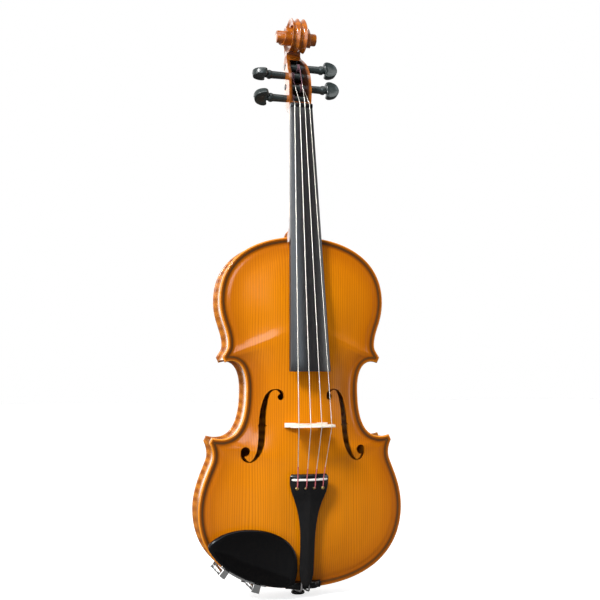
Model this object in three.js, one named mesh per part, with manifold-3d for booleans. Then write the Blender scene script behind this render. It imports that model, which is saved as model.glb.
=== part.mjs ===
// A full-size violin standing on its end button. Millimetres.
// +Z runs from the end button to the scroll, the top plate faces -Y, the bass side is -X.
// The origin is the centre of the end button's flat outer face. Everything is drawn in body
// coordinates, whose z is 0 at the body's lower edge, and the whole group is lifted by BODY_LIFT.

import * as THREE from 'three';
import { mergeVertices } from 'three/addons/utils/BufferGeometryUtils.js';
import Module from 'manifold-3d';

const wasm = await Module();
wasm.setup();

// Driving dimensions
const BODY_LENGTH = 356;
const BODY_LIFT = 9.5;
const RIB_HALF = 15; // half the ribs' depth: the plates' gluing faces are at y = -15 and +15
const EDGE = 4; // plate thickness at the edge
const PLATE = 3; // plate thickness in the middle
const TOP_ARCH = 11.5; // rise of the top above its edge
const BACK_ARCH = 10.5; // rise of the back above its edge
const OVERHANG = 2.8; // plate edge outside the ribs
const RIB = 1.2; // rib thickness
const LINING = 2; // lining thickness
const LINING_HEIGHT = 7.5;
const GAP = 0.3; // clearance between touching pieces
const BRIDGE_Z = 163.4;
const BRIDGE_CROWN = -65; // y of the bridge's highest point
const CROWN_RADIUS = 42; // curve of the bridge, nut, fingerboard and tailpiece across the strings
const BOARD_END_Z = 217;
const NUT_Z = 494;
const BOARD_EDGE_AT_NUT = -14.2; // y of the fingerboard's side edge at the nut
const BOARD_SLOPE = 0.1155; // forward rise of the fingerboard per mm towards the bridge
const BOARD_SIDE = 5; // height of the fingerboard's sides
const STRING_AT_NUT = 2.75; // x of the inner strings; the outer ones are at three times this
const STRING_AT_BRIDGE = 5.6;
const STRING_AT_TAIL = 4.4;
const EYE = { y: 8.4, z: 576.5 }; // centre of the scroll

// Finishes
const finishes = {
  spruce: { color: 0xd8860f, roughness: 0.28, metalness: 0 },
  maple: { color: 0xa8540e, roughness: 0.28, metalness: 0 },
  rawWood: { color: 0xd9b98a, roughness: 0.8, metalness: 0 },
  ebony: { color: 0x17181a, roughness: 0.38, metalness: 0 },
  bridgeMaple: { color: 0xe9d6ad, roughness: 0.6, metalness: 0 },
  ivory: { color: 0xefe9da, roughness: 0.45, metalness: 0 },
  steel: { color: 0xc9ccd0, roughness: 0.25, metalness: 1 },
  cork: { color: 0xa97c4e, roughness: 0.9, metalness: 0 },
  gut: { color: 0x2a2a2c, roughness: 0.5, metalness: 0 },
};

const violin = new THREE.Group();
violin.position.z = BODY_LIFT;

function add(name, finish, geometry) {
  const mesh = new THREE.Mesh(geometry, new THREE.MeshStandardMaterial(finishes[finish]));
  mesh.name = name;
  violin.add(mesh);
  return mesh;
}

// ---- Shape helpers ----

// Turns a closed surface the right way out when its signed volume is negative.
function outward(geometry) {
  const position = geometry.attributes.position;
  const index = geometry.index.array;
  const [a, b, c] = [new THREE.Vector3(), new THREE.Vector3(), new THREE.Vector3()];
  let volume = 0;
  for (let i = 0; i < index.length; i += 3) {
    a.fromBufferAttribute(position, index[i]);
    b.fromBufferAttribute(position, index[i + 1]);
    c.fromBufferAttribute(position, index[i + 2]);
    volume += a.dot(b.cross(c));
  }
  if (volume < 0) {
    index.reverse();
  }
  return geometry;
}

// Indexed surface from points and triangles, with its seams closed.
function surface(points, triangles) {
  const geometry = new THREE.BufferGeometry();
  const numbers = points.flatMap((p) => [p.x, p.y, p.z]);
  geometry.setAttribute('position', new THREE.Float32BufferAttribute(numbers, 3));
  geometry.setIndex(triangles.flat());
  return outward(mergeVertices(geometry, 1e-3));
}

// Closed solid through rings that all have the same number of points, with a fan at each end.
function loft(rings) {
  const count = rings[0].length;
  const points = rings.flat();
  const triangles = [];
  for (let band = 0; band < rings.length - 1; band += 1) {
    for (let k = 0; k < count; k += 1) {
      const a = band * count + k;
      const b = band * count + ((k + 1) % count);
      triangles.push([a, b, b + count], [a, b + count, a + count]);
    }
  }
  for (const [ring, start, flip] of [[rings[0], 0, true], [rings.at(-1), points.length - count, false]]) {
    const centre = points.length;
    const middle = ring.reduce((sum, p) => sum.add(p), new THREE.Vector3()).divideScalar(count);
    points.push(middle);
    for (let k = 0; k < count; k += 1) {
      const pair = [start + k, start + ((k + 1) % count)];
      triangles.push(flip ? [pair[1], pair[0], centre] : [pair[0], pair[1], centre]);
    }
  }
  return surface(points, triangles);
}

// Round bar along straight runs between points, its section square to each bend.
function bar(path, radius, sides = 8) {
  const points = path.map((p) => new THREE.Vector3(...p));
  const rings = points.map((point, i) => {
    const before = points[Math.max(0, i - 1)];
    const after = points[Math.min(points.length - 1, i + 1)];
    const along = after.clone().sub(before).normalize();
    const reference = Math.abs(along.x) < 0.8 ? new THREE.Vector3(1, 0, 0) : new THREE.Vector3(0, 1, 0);
    const across = reference.clone().cross(along).normalize();
    const up = along.clone().cross(across);
    return Array.from({ length: sides }, (_, k) => {
      const angle = (k / sides) * Math.PI * 2;
      const spoke = across.clone().multiplyScalar(Math.cos(angle) * radius);
      return point.clone().add(spoke).addScaledVector(up, Math.sin(angle) * radius);
    });
  });
  return loft(rings);
}

// Flat piece with its outline in x and z, between two y values.
function slab(outlinePoints, yFrom, yTo) {
  const shape = new THREE.Shape(outlinePoints.map(([x, z]) => new THREE.Vector2(x, z)));
  const geometry = new THREE.ExtrudeGeometry(shape, { depth: yTo - yFrom, bevelEnabled: false });
  return geometry.rotateX(Math.PI / 2).translate(0, yTo, 0);
}

// Box between two opposite corners.
function box(low, high) {
  const size = high.map((value, i) => value - low[i]);
  const middle = high.map((value, i) => (value + low[i]) / 2);
  return new THREE.BoxGeometry(...size).translate(...middle);
}

// Cylinder from one end to the other along X, Y or Z.
function rod(axis, from, length, radius, sides = 16) {
  const geometry = new THREE.CylinderGeometry(radius, radius, length, sides);
  geometry.translate(0, length / 2, 0);
  if (axis === 'x') {
    geometry.rotateZ(-Math.PI / 2);
  }
  if (axis === 'z') {
    geometry.rotateX(Math.PI / 2);
  }
  return geometry.translate(...from);
}

function toSolid(geometry) {
  const bare = geometry.clone();
  bare.deleteAttribute('normal');
  bare.deleteAttribute('uv');
  const merged = mergeVertices(bare, 1e-3);
  return new wasm.Manifold(new wasm.Mesh({
    numProp: 3,
    vertProperties: new Float32Array(merged.attributes.position.array),
    triVerts: new Uint32Array(merged.index.array),
  }));
}

function toGeometry(solid) {
  const mesh = solid.getMesh();
  const geometry = new THREE.BufferGeometry();
  geometry.setAttribute('position', new THREE.BufferAttribute(mesh.vertProperties, 3));
  geometry.setIndex(new THREE.BufferAttribute(mesh.triVerts, 1));
  return geometry;
}

function cut(geometry, ...tools) {
  return toGeometry(tools.reduce((solid, tool) => solid.subtract(toSolid(tool)), toSolid(geometry)));
}

function join(...pieces) {
  return toGeometry(pieces.map(toSolid).reduce((sum, piece) => sum.add(piece)));
}

// ---- Body outline ----

// Right half of the plates' outline from the top centre to the bottom centre. Each stretch has its
// Bezier points, its number of steps, and where its two ends point to on the body's centre line.
const stretches = {
  shoulder: { curve: [[0, 356], [46, 356], [87.4, 336], [87.4, 290]], steps: 8, spine: [322, 288] },
  upperSide: { curve: [[87.4, 290], [87.4, 268], [77.5, 259], [78.2, 243]], steps: 5, spine: [288, 262] },
  upperCorner: { curve: [[78.2, 243], [78.5, 239], [81.5, 236], [83.9, 231.6]], steps: 3, spine: [262, 248] },
  upperTip: { curve: [[83.9, 231.6], [83, 230], [82.2, 228], [81.2, 226]], steps: 1, spine: [248, 246] },
  waistUpper: { curve: [[81.2, 226], [71, 230], [59.2, 226], [59.2, 199]], steps: 7, spine: [246, 200] },
  waistLower: { curve: [[59.2, 199], [59.2, 166], [67.5, 144], [94, 151.6]], steps: 8, spine: [200, 142] },
  lowerTip: { curve: [[94, 151.6], [94.8, 150], [95.6, 148], [96.3, 146.2]], steps: 1, spine: [142, 140] },
  lowerCorner: { curve: [[96.3, 146.2], [92, 137.5], [92.6, 131], [94.8, 125.5]], steps: 3, spine: [140, 126] },
  lowerSide: { curve: [[94.8, 125.5], [99.5, 113.5], [107.1, 98], [107.1, 78.6]], steps: 6, spine: [126, 82] },
  bottom: { curve: [[107.1, 78.6], [107.1, 34], [74, 0], [0, 0]], steps: 9, spine: [82, 34] },
};

const bezier = (points) => new THREE.CubicBezierCurve(...points.map(([x, z]) => new THREE.Vector2(x, z)));

function sampleStretch({ curve, steps, spine }) {
  const line = bezier(curve);
  return Array.from({ length: steps + 1 }, (_, i) => {
    const t = i / steps;
    const point = line.getPoint(t);
    const tangent = line.getTangent(t);
    return {
      x: point.x,
      z: point.y,
      inward: [tangent.y, -tangent.x],
      spine: THREE.MathUtils.lerp(spine[0], spine[1], t),
    };
  });
}

const halfOutline = Object.values(stretches).flatMap((stretch, i) => sampleStretch(stretch).slice(i ? 1 : 0));

// How far the arching reaches along each line from the centre line: the outline's distance,
// averaged over its neighbours so that the arching doesn't follow the corners.
halfOutline.forEach((sample) => {
  sample.distance = Math.hypot(sample.x, sample.z - sample.spine);
});
halfOutline.forEach((sample, i) => {
  const near = halfOutline.slice(Math.max(0, i - 3), i + 4);
  sample.reach = near.reduce((sum, other) => sum + other.distance, 0) / near.length - 2;
});

// Rise of a plate's arching above its edge, from 1 on the centre line to 0 at the edge.
function rise(spine, share) {
  const along = (spine - BODY_LENGTH / 2) / (BODY_LENGTH / 2);
  const across = Math.min(1, Math.max(0, share)) ** 1.25;
  return (1 - Math.abs(along) ** 3) * (0.5 + 0.5 * Math.cos(Math.PI * across));
}

// The same rise at a given place on the body.
function riseAt(x, z) {
  const crossings = halfOutline.map((sample) => {
    const s = sample.x > 0 ? Math.abs(x) / sample.x : 2;
    return { ...sample, s, height: sample.spine + s * (sample.z - sample.spine) };
  }).filter((sample) => sample.s <= 1);
  const next = crossings.findIndex((sample) => sample.height <= z);
  const [a, b] = [crossings[next - 1], crossings[next]];
  const t = (a.height - z) / (a.height - b.height);
  const mix = (key) => a[key] + (b[key] - a[key]) * t;
  return rise(mix('spine'), (mix('s') * mix('distance')) / mix('reach'));
}

// Arched plate: rings of points between the centre line and the outline, on the outer and inner faces.
function plate(side, arch) {
  const shares = [0, 0.25, 0.48, 0.7, 0.93, 1];
  const around = [
    ...halfOutline,
    ...halfOutline.slice(1, -1).reverse().map((sample) => ({ ...sample, x: -sample.x })),
  ];
  const pointsOf = (heightOf) => around.flatMap((sample) => shares.map((share) => {
    const height = heightOf(sample, share);
    const z = sample.spine + share * (sample.z - sample.spine);
    return new THREE.Vector3(share * sample.x, side * (RIB_HALF + height), z);
  }));
  const outerHeight = (sample, share) => (
    EDGE + arch * rise(sample.spine, (share * sample.distance) / sample.reach));
  const innerHeight = (sample, share) => (share > 0.9 ? 0 : outerHeight(sample, share) - PLATE);
  const points = [...pointsOf(outerHeight), ...pointsOf(innerHeight)];
  const rows = shares.length;
  const inner = around.length * rows;
  const triangles = [];
  around.forEach((_, i) => {
    const a = i * rows;
    const b = ((i + 1) % around.length) * rows;
    for (let j = 0; j < rows - 1; j += 1) {
      triangles.push([a + j, a + j + 1, b + j + 1], [a + j, b + j + 1, b + j]);
      triangles.push([inner + a + j, inner + b + j + 1, inner + a + j + 1]);
      triangles.push([inner + a + j, inner + b + j, inner + b + j + 1]);
    }
    const [aEdge, bEdge] = [a + rows - 1, b + rows - 1];
    triangles.push([aEdge, inner + aEdge, inner + bEdge], [aEdge, inner + bEdge, bEdge]);
  });
  const distinct = triangles.filter(([p, q, r]) => (
    points[p].distanceTo(points[q]) > 1e-3
    && points[q].distanceTo(points[r]) > 1e-3
    && points[r].distanceTo(points[p]) > 1e-3));
  return surface(points, distinct);
}

// ---- Sound holes ----

// Right-hand f: a channel whose width changes along its middle line, with a round eye at each end.
const fLine = new THREE.SplineCurve([
  [24.3, 194.5], [27, 197.6], [31.5, 198.3], [36.5, 194.8], [39.3, 187.5], [40.9, 177], [42.6, 164],
  [44.4, 150], [47, 138.5], [51.2, 130.6], [56.6, 127.6], [61.6, 129.8], [64, 134.6],
].map(([x, z]) => new THREE.Vector2(x, z)));
const fEyes = [{ x: 25.5, z: 191.5, radius: 3.2 }, { x: 60.8, z: 137.2, radius: 4.4 }];
const F_WIDTH = 6.6;
const F_END_WIDTH = 1.8;

function soundHole(side) {
  const steps = 20;
  const edges = [[], []];
  for (let i = 0; i <= steps; i += 1) {
    const t = i / steps;
    const point = fLine.getPoint(t);
    const tangent = fLine.getTangent(t);
    const half = (F_END_WIDTH + (F_WIDTH - F_END_WIDTH) * Math.sin(Math.PI * t) ** 1.5) / 2;
    edges[0].push([side * (point.x - tangent.y * half), point.y + tangent.x * half]);
    edges[1].push([side * (point.x + tangent.y * half), point.y - tangent.x * half]);
  }
  const channel = slab([...edges[0], ...edges[1].reverse()], -40, -10);
  const eyes = fEyes.map((eye) => rod('y', [side * eye.x, -40, eye.z], 30, eye.radius));
  return join(channel, ...eyes);
}

// ---- Plates ----

const FOOT_HALF = 16.5; // half width of the neck's root at the top plate
const FOOT_Z = 349; // the root's end face, let into the block
const SADDLE_HALF = 18;
const SADDLE_TOP_Z = 7;
const BUTTON_RADIUS = 11;
const BUTTON_Z = 358;

const neckMortise = box([-FOOT_HALF - GAP, -60, FOOT_Z - GAP], [FOOT_HALF + GAP, RIB_HALF, 380]);
const saddleNotch = box([-SADDLE_HALF - GAP, -60, -5], [SADDLE_HALF + GAP, -RIB_HALF + 1, SADDLE_TOP_Z + GAP]);
const topPlate = cut(plate(-1, TOP_ARCH), soundHole(1), soundHole(-1), neckMortise, saddleNotch);
add('top_plate', 'spruce', topPlate);

const backButton = rod('y', [0, RIB_HALF, BUTTON_Z], EDGE, BUTTON_RADIUS, 24);
add('back_plate', 'maple', join(plate(1, BACK_ARCH), backButton));

// ---- Ribs, blocks and linings ----

// The outline moved inwards in three runs, upper bout, waist and lower bout, that end where they cross.
function garland(distance) {
  const runs = [
    ['shoulder', 'upperSide', 'upperCorner'],
    ['waistUpper', 'waistLower'],
    ['lowerCorner', 'lowerSide', 'bottom'],
  ].map((names) => names.flatMap((name, i) => sampleStretch(stretches[name]).slice(i ? 1 : 0))
    .map(({ x, z, inward }) => [x + inward[0] * distance, z + inward[1] * distance]));
  trimWhereCrossed(runs[0], runs[1]);
  trimWhereCrossed(runs[1], runs[2]);
  return { upper: runs[0], waist: runs[1], lower: runs[2] };
}

// Ends the first run and starts the second at the point where they cross.
function trimWhereCrossed(first, second) {
  for (let i = first.length - 2; i >= 0; i -= 1) {
    for (let j = 0; j < second.length - 1; j += 1) {
      const hit = crossing(first[i], first[i + 1], second[j], second[j + 1]);
      if (hit) {
        first.splice(i + 1, first.length, hit);
        second.splice(0, j + 1, hit);
        return;
      }
    }
  }
}

function crossing([ax, az], [bx, bz], [cx, cz], [dx, dz]) {
  const slope = (bx - ax) * (dz - cz) - (bz - az) * (dx - cx);
  const s = ((cx - ax) * (dz - cz) - (cz - az) * (dx - cx)) / slope;
  const t = ((cx - ax) * (bz - az) - (cz - az) * (bx - ax)) / slope;
  const meets = s >= 0 && s <= 1 && t >= 0 && t <= 1;
  return meets ? [ax + s * (bx - ax), az + s * (bz - az)] : null;
}

// The part of a run between two distances, each measured from its own end.
function shorten(run, fromStart, fromEnd) {
  const drop = (points, length) => {
    let left = length;
    const rest = [...points];
    while (rest.length > 2) {
      const step = Math.hypot(rest[1][0] - rest[0][0], rest[1][1] - rest[0][1]);
      if (step > left) {
        break;
      }
      left -= step;
      rest.shift();
    }
    const [a, b] = rest;
    const share = left / Math.hypot(b[0] - a[0], b[1] - a[1]);
    return [[a[0] + (b[0] - a[0]) * share, a[1] + (b[1] - a[1]) * share], ...rest.slice(1)];
  };
  return drop(drop(run, fromStart).reverse(), fromEnd).reverse();
}

const mirrored = (points, side) => points.map(([x, z]) => [side * x, z]);

const ribOutside = garland(OVERHANG);
const ribInside = garland(OVERHANG + RIB);
const liningOutside = garland(OVERHANG + RIB + GAP);
const liningInside = garland(OVERHANG + RIB + GAP + LINING);

const ribEnds = {
  upper: [FOOT_HALF + 1, GAP],
  waist: [GAP, GAP],
  lower: [GAP, GAP / 2],
};
const liningEnds = {
  upper: [32, 24],
  waist: [24, 24],
  lower: [24, 32],
};

const BUTTON_SHAFT = 3.3;
const buttonHole = rod('z', [0, 0, -3], 25, BUTTON_SHAFT + GAP);

for (const [sideName, side] of [['left', -1], ['right', 1]]) {
  for (const bout of ['upper', 'waist', 'lower']) {
    const outer = shorten(ribOutside[bout], ...ribEnds[bout]);
    const inner = shorten(ribInside[bout], ...ribEnds[bout]);
    const strip = mirrored([...outer, ...inner.reverse()], side);
    const rib = slab(strip, -RIB_HALF + GAP, RIB_HALF - GAP);
    add(`${bout}_rib_${sideName}`, 'maple', bout === 'lower' ? cut(rib, buttonHole) : rib);
    const liningStrip = mirrored([
      ...shorten(liningOutside[bout], ...liningEnds[bout]),
      ...shorten(liningInside[bout], ...liningEnds[bout]).reverse(),
    ], side);
    for (const [face, sign] of [['top', -1], ['back', 1]]) {
      const ys = [sign * (RIB_HALF - GAP), sign * (RIB_HALF - GAP - LINING_HEIGHT)].sort((a, b) => a - b);
      add(`${bout}_${face}_lining_${sideName}`, 'rawWood', slab(liningStrip, ...ys));
    }
  }
}

// Blocks fill the garland's corners and its two ends.
function cornerBlock(firstRun, secondRun, side) {
  const reach = 20;
  const before = shorten(firstRun, lengthOf(firstRun) - reach, 0);
  const after = shorten(secondRun, 0, lengthOf(secondRun) - reach);
  return slab(mirrored([...before, ...after.slice(1)], side), -RIB_HALF + GAP, RIB_HALF - GAP);
}

function lengthOf(run) {
  return run.slice(1).reduce((sum, [x, z], i) => sum + Math.hypot(x - run[i][0], z - run[i][1]), 0);
}

for (const [sideName, side] of [['left', -1], ['right', 1]]) {
  const upper = cornerBlock(liningOutside.upper, liningOutside.waist, side);
  const lower = cornerBlock(liningOutside.waist, liningOutside.lower, side);
  add(`upper_corner_block_${sideName}`, 'rawWood', upper);
  add(`lower_corner_block_${sideName}`, 'rawWood', lower);
}

// Runs from the body's centre line out to a reach, with a straight inner face.
function endBlock(run, innerZ) {
  const reach = 28;
  const half = shorten(run, 0, lengthOf(run) - reach);
  const farX = half.at(-1)[0];
  const whole = [...mirrored(half, -1).reverse(), ...half.slice(1), [farX, innerZ], [-farX, innerZ]];
  return slab(whole, -RIB_HALF + GAP, RIB_HALF - GAP);
}

const NECK_BLOCK_Z = 335;
const END_BLOCK_Z = 19;
add('neck_block', 'rawWood', cut(endBlock(liningOutside.upper, NECK_BLOCK_Z), neckMortise));
const endBlockRun = [...liningOutside.lower].reverse();
add('end_block', 'rawWood', cut(endBlock(endBlockRun, END_BLOCK_Z), buttonHole));

// ---- Bass bar and sound post ----

const topInside = (x, z) => -(RIB_HALF + EDGE + TOP_ARCH * riseAt(x, z) - PLATE);
const backInside = (x, z) => RIB_HALF + EDGE + BACK_ARCH * riseAt(x, z) - PLATE;

const BAR_X = -16.5;
const BAR_HALF = 2.7;
const BAR_SPAN = [52, 312];

function bassBar() {
  const stations = 13;
  const rings = Array.from({ length: stations }, (_, i) => {
    const t = i / (stations - 1);
    const z = THREE.MathUtils.lerp(BAR_SPAN[0], BAR_SPAN[1], t);
    const lean = topInside(BAR_X - BAR_HALF, z) + 2 * GAP;
    const depth = 2.5 + 9 * Math.sin(Math.PI * t) ** 0.8;
    const x = [BAR_X - BAR_HALF, BAR_X + BAR_HALF];
    return [[x[0], lean], [x[1], lean], [x[1], lean + depth], [x[0], lean + depth]]
      .map(([px, py]) => new THREE.Vector3(px, py, z));
  });
  return loft(rings);
}

add('bass_bar', 'rawWood', bassBar());

const POST = { x: 18, z: 157, radius: 3.1 };
const postTop = topInside(POST.x + POST.radius, POST.z) + 2 * GAP;
const postBack = backInside(POST.x + POST.radius, POST.z) - 2 * GAP;
add('sound_post', 'rawWood', rod('y', [POST.x, postTop, POST.z], postBack - postTop, POST.radius));

// ---- Neck, pegbox and scroll ----

const boardEdge = (z) => BOARD_EDGE_AT_NUT - BOARD_SLOPE * (NUT_Z - z);
const glueFace = (z) => boardEdge(z) + BOARD_SIDE;
const crown = (x) => CROWN_RADIUS - Math.sqrt(CROWN_RADIUS ** 2 - x ** 2);

// U-shaped section between a front point and a back point, both given as y and z.
// A small squareness gives a box, and 1 gives half an ellipse.
function neckSection({ front, back, half, taper = 0, squareness }) {
  const count = 13;
  return Array.from({ length: count }, (_, i) => {
    const angle = (i / (count - 1)) * Math.PI;
    const depth = Math.max(0, Math.sin(angle)) ** squareness;
    const spread = Math.sign(Math.cos(angle)) * Math.abs(Math.cos(angle)) ** squareness;
    const x = spread * half * (1 - taper * depth);
    return new THREE.Vector3(
      x,
      front[0] + (back[0] - front[0]) * depth,
      front[1] + (back[1] - front[1]) * depth,
    );
  });
}

const HEEL_BACK = RIB_HALF - GAP;
const neckSections = [
  { front: [glueFace(349), 349], back: [HEEL_BACK, 349], half: 16.5, taper: 0.35, squareness: 0.45 },
  { front: [glueFace(358), 358], back: [HEEL_BACK, 358], half: 16.4, taper: 0.38, squareness: 0.45 },
  { front: [glueFace(364), 364], back: [HEEL_BACK, 365.5], half: 16.2, taper: 0.5, squareness: 0.5 },
  { front: [glueFace(367), 367], back: [14, 369], half: 16.1, taper: 0.6, squareness: 0.6 },
  { front: [glueFace(370), 370], back: [6, 371.5], half: 15.9, taper: 0.4, squareness: 0.7 },
  { front: [glueFace(374), 374], back: [-2, 375], half: 15.7, taper: 0.15, squareness: 0.8 },
  { front: [glueFace(381), 381], back: [-7.6, 381], half: 15.4, squareness: 0.85 },
  { front: [glueFace(392), 392], back: [-9, 392], half: 15, squareness: 0.9 },
  { front: [glueFace(440), 440], back: [-3.6, 440], half: 13.4, squareness: 0.9 },
  { front: [glueFace(482), 482], back: [2.2, 482], half: 12, squareness: 0.9 },
  { front: [glueFace(494), 494], back: [5.5, 490.5], half: 11.9, squareness: 0.75 },
  { front: [-8.9, 500.5], back: [10.5, 495], half: 12.2, squareness: 0.4 },
  { front: [-9.6, 508], back: [13.5, 503.5], half: 12.4, squareness: 0.3 },
  { front: [-9, 520], back: [17.5, 517], half: 12.3, squareness: 0.3 },
  { front: [-6.4, 532], back: [21, 530], half: 12, squareness: 0.3 },
  { front: [-1.5, 539], back: [23.6, 539], half: 11.8, squareness: 0.3 },
  { front: [3, 546], back: [26, 548], half: 11.2, squareness: 0.3 },
  { front: [11, 553], back: [28, 556], half: 9.4, squareness: 0.3 },
  { front: [18, 559], back: [28.4, 564], half: 8, squareness: 0.3 },
  { front: [16, 566], back: [26.2, 573], half: 7.4, squareness: 0.3 },
];

const cavitySections = [
  { front: [-16, 502], back: [7.6, 501.2], half: 8, squareness: 0.3 },
  { front: [-14, 509], back: [10, 505.4], half: 8.6, squareness: 0.3 },
  { front: [-13.5, 522.5], back: [12.8, 519.5], half: 8.8, squareness: 0.3 },
  { front: [-10, 536], back: [16.4, 535.2], half: 8.2, squareness: 0.3 },
  { front: [-4, 546.5], back: [18.8, 547], half: 7.4, squareness: 0.3 },
  { front: [5, 553.4], back: [20.5, 552.5], half: 6, squareness: 0.3 },
];

// Scroll: four turned steps on each side, each narrower and standing further out, round one eye.
const scrollSteps = [
  { radius: 18.8, half: 7.6, y: 0.5, z: 2.2 },
  { radius: 12, half: 12.6, y: 0, z: 0.6 },
  { radius: 9, half: 17, y: 0, z: 0 },
  { radius: 6.6, half: 22.2, y: 0, z: 0 },
];

const scroll = scrollSteps.map(({ radius, half, y, z }) => (
  rod('x', [-half, EYE.y + y, EYE.z + z], 2 * half, radius, 20)));

// Pegs, nearest the nut first: where each crosses the pegbox, which way its head points, its turn,
// where its string winds on and how far its tip reaches.
const pegs = [
  { name: 'g', y: 3.4, z: 507.5, side: -1, turn: 35, coil: -5, tip: 13 },
  { name: 'e', y: 6.6, z: 521, side: 1, turn: 80, coil: 4.6, tip: 12.9 },
  { name: 'd', y: 9.8, z: 534.5, side: -1, turn: 8, coil: -3.6, tip: 12.5 },
  { name: 'a', y: 12.6, z: 545, side: 1, turn: 76, coil: 3, tip: 11.9 },
];
const PEG_RADIUS = 3.6; // at the middle of the pegbox
const PEG_TAPER = 1 / 60; // radius gained per mm towards the head
const PEG_COLLAR = 31.5;
const PEG_HEAD_END = 47;

const pegRadius = (along) => PEG_RADIUS + along * PEG_TAPER;

function pegHole({ y, z, side }) {
  const profile = [[0, -20], [pegRadius(-20) + GAP, -20], [pegRadius(20) + GAP, 20], [0, 20]];
  const hole = new THREE.LatheGeometry(profile.map(([r, a]) => new THREE.Vector2(r, a)), 14);
  return hole.rotateZ(-side * Math.PI / 2).translate(0, y, z);
}

const neckBlank = join(loft(neckSections.map(neckSection)), ...scroll);
const neck = cut(neckBlank, loft(cavitySections.map(neckSection)), ...pegs.map(pegHole));
add('neck_and_scroll', 'maple', neck);

// ---- Fingerboard and nut ----

// Arched section at one z: a crowned front between its two edges and a flat underside.
function archedSection(z, half, edgeY, underY) {
  const count = 9;
  const arc = Array.from({ length: count }, (_, i) => {
    const x = half * (1 - (2 * i) / (count - 1));
    return new THREE.Vector3(x, edgeY - (crown(half) - crown(x)), z);
  });
  return [...arc, new THREE.Vector3(-half, underY, z), new THREE.Vector3(half, underY, z)];
}

const boardHalf = (z) => 12 + (9 * (NUT_Z - z)) / (NUT_Z - BOARD_END_Z);
const boardStations = [BOARD_END_Z, NUT_Z];
add('fingerboard', 'ebony', loft(boardStations.map((z) => (
  archedSection(z, boardHalf(z), boardEdge(z), glueFace(z) - GAP)))));

const NUT_LENGTH = 5;
const NUT_RISE = 0.9; // above the fingerboard's crown
const nutUnder = glueFace(NUT_Z) - GAP;
add('nut', 'ebony', loft([NUT_Z + GAP, NUT_Z + NUT_LENGTH].map((z) => (
  archedSection(z, 12, BOARD_EDGE_AT_NUT - NUT_RISE, nutUnder)))));

// ---- Saddle, end button and tailpiece ----

const SADDLE_CROWN = -25.5;
const saddleProfile = [[-SADDLE_HALF, -15.6], [SADDLE_HALF, -15.6], [SADDLE_HALF, -21], [9, SADDLE_CROWN],
  [-9, SADDLE_CROWN], [-SADDLE_HALF, -21]];
add('saddle', 'ebony', loft([0.4, SADDLE_TOP_Z].map((z) => (
  saddleProfile.map(([x, y]) => new THREE.Vector3(x, y, z))))));

const buttonProfile = [[0, -9.5], [6.4, -9.5], [7, -8.8], [7, -6.6], [5.6, -5.7], [3.3, -5.4],
  [BUTTON_SHAFT, 17], [0, 17]];
const endButton = new THREE.LatheGeometry(buttonProfile.map(([r, z]) => new THREE.Vector2(r, z)), 20);
add('end_button', 'ebony', endButton.rotateX(Math.PI / 2));

// Tailpiece sections: z, half width and the y of its crown. Its height shrinks towards the end button.
const tailSections = [
  [115.6, 17.6, -44.2], [114, 19.3, -45.4], [108, 19.8, -45.6], [100, 18.4, -44.9], [90, 14.6, -43.7],
  [78, 10.8, -42.2], [64, 8.4, -40.4], [48, 7.4, -38.4], [28, 7.2, -35.9], [14, 6.6, -34], [8, 5, -33],
  [4.6, 2.4, -32],
];
const TAIL_HEIGHT = 6;
const tailBlank = loft(tailSections.map(([z, half, crownY]) => {
  const height = TAIL_HEIGHT * (0.5 + 0.5 * Math.min(1, half / 12));
  const edgeY = crownY + crown(half);
  return archedSection(z, half, edgeY, Math.max(crownY + height, edgeY + 1));
}));
const KEY_Z = 102;
const stringX = (inner) => [-3 * inner, -inner, inner, 3 * inner];
const keyHoles = stringX(STRING_AT_TAIL).map((x) => rod('y', [x, -60, KEY_Z], 30, 1.7, 12));
const tailpiece = cut(tailBlank, ...keyHoles);
add('tailpiece', 'ebony', tailpiece);

const FRET_Z = 110.4;
const FRET_HEIGHT = 1.5;
function tailFret() {
  const half = 18.6;
  const seat = -45.6 - GAP;
  const count = 8;
  const line = (y) => Array.from({ length: count + 1 }, (_, i) => {
    const x = half * ((2 * i) / count - 1);
    return new THREE.Vector2(x, y + crown(x));
  });
  const shape = new THREE.Shape([...line(seat), ...line(seat - FRET_HEIGHT).reverse()]);
  const geometry = new THREE.ExtrudeGeometry(shape, { depth: 2.4, bevelEnabled: false });
  return geometry.translate(0, 0, FRET_Z - 1.2);
}
add('tailpiece_fret', 'ivory', tailFret());

// Gut from under the tailpiece, over the saddle and round the end button's neck, and back.
const GUT_RADIUS = 0.9;
const GUT_TURN = BUTTON_SHAFT + GAP + GUT_RADIUS;
const gutHalf = [[3.4, -27.6, 26], [3.4, -27.3, 10], [3.8, SADDLE_CROWN - 1.3, 4], [4, SADDLE_CROWN - 1, 0.2],
  [4.2, -24.6, -1.4], [4.5, -19, -2.6]];
const gutTurn = [0, 30, 60, 90, 120, 150, 180].map((degrees) => {
  const angle = THREE.MathUtils.degToRad(degrees);
  return [Math.cos(angle) * GUT_TURN, Math.sin(angle) * GUT_TURN, -3.9];
});
const gutPath = [...gutHalf, ...gutTurn, ...gutHalf.map(([x, y, z]) => [-x, y, z]).reverse()];
add('tailgut', 'gut', bar(gutPath, GUT_RADIUS));

for (const [sideName, side] of [['left', -1], ['right', 1]]) {
  const ring = [[GUT_RADIUS + GAP, 0], [2.3, 0], [2.3, 3], [GUT_RADIUS + GAP, 3], [GUT_RADIUS + GAP, 0]];
  const nut = new THREE.LatheGeometry(ring.map(([r, z]) => new THREE.Vector2(r, z)), 14);
  nut.rotateX(Math.PI / 2 + 0.1).translate(side * 3.4, -27.4, 20.6);
  add(`tailgut_nut_${sideName}`, 'steel', nut);
}

// ---- Bridge ----

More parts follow.
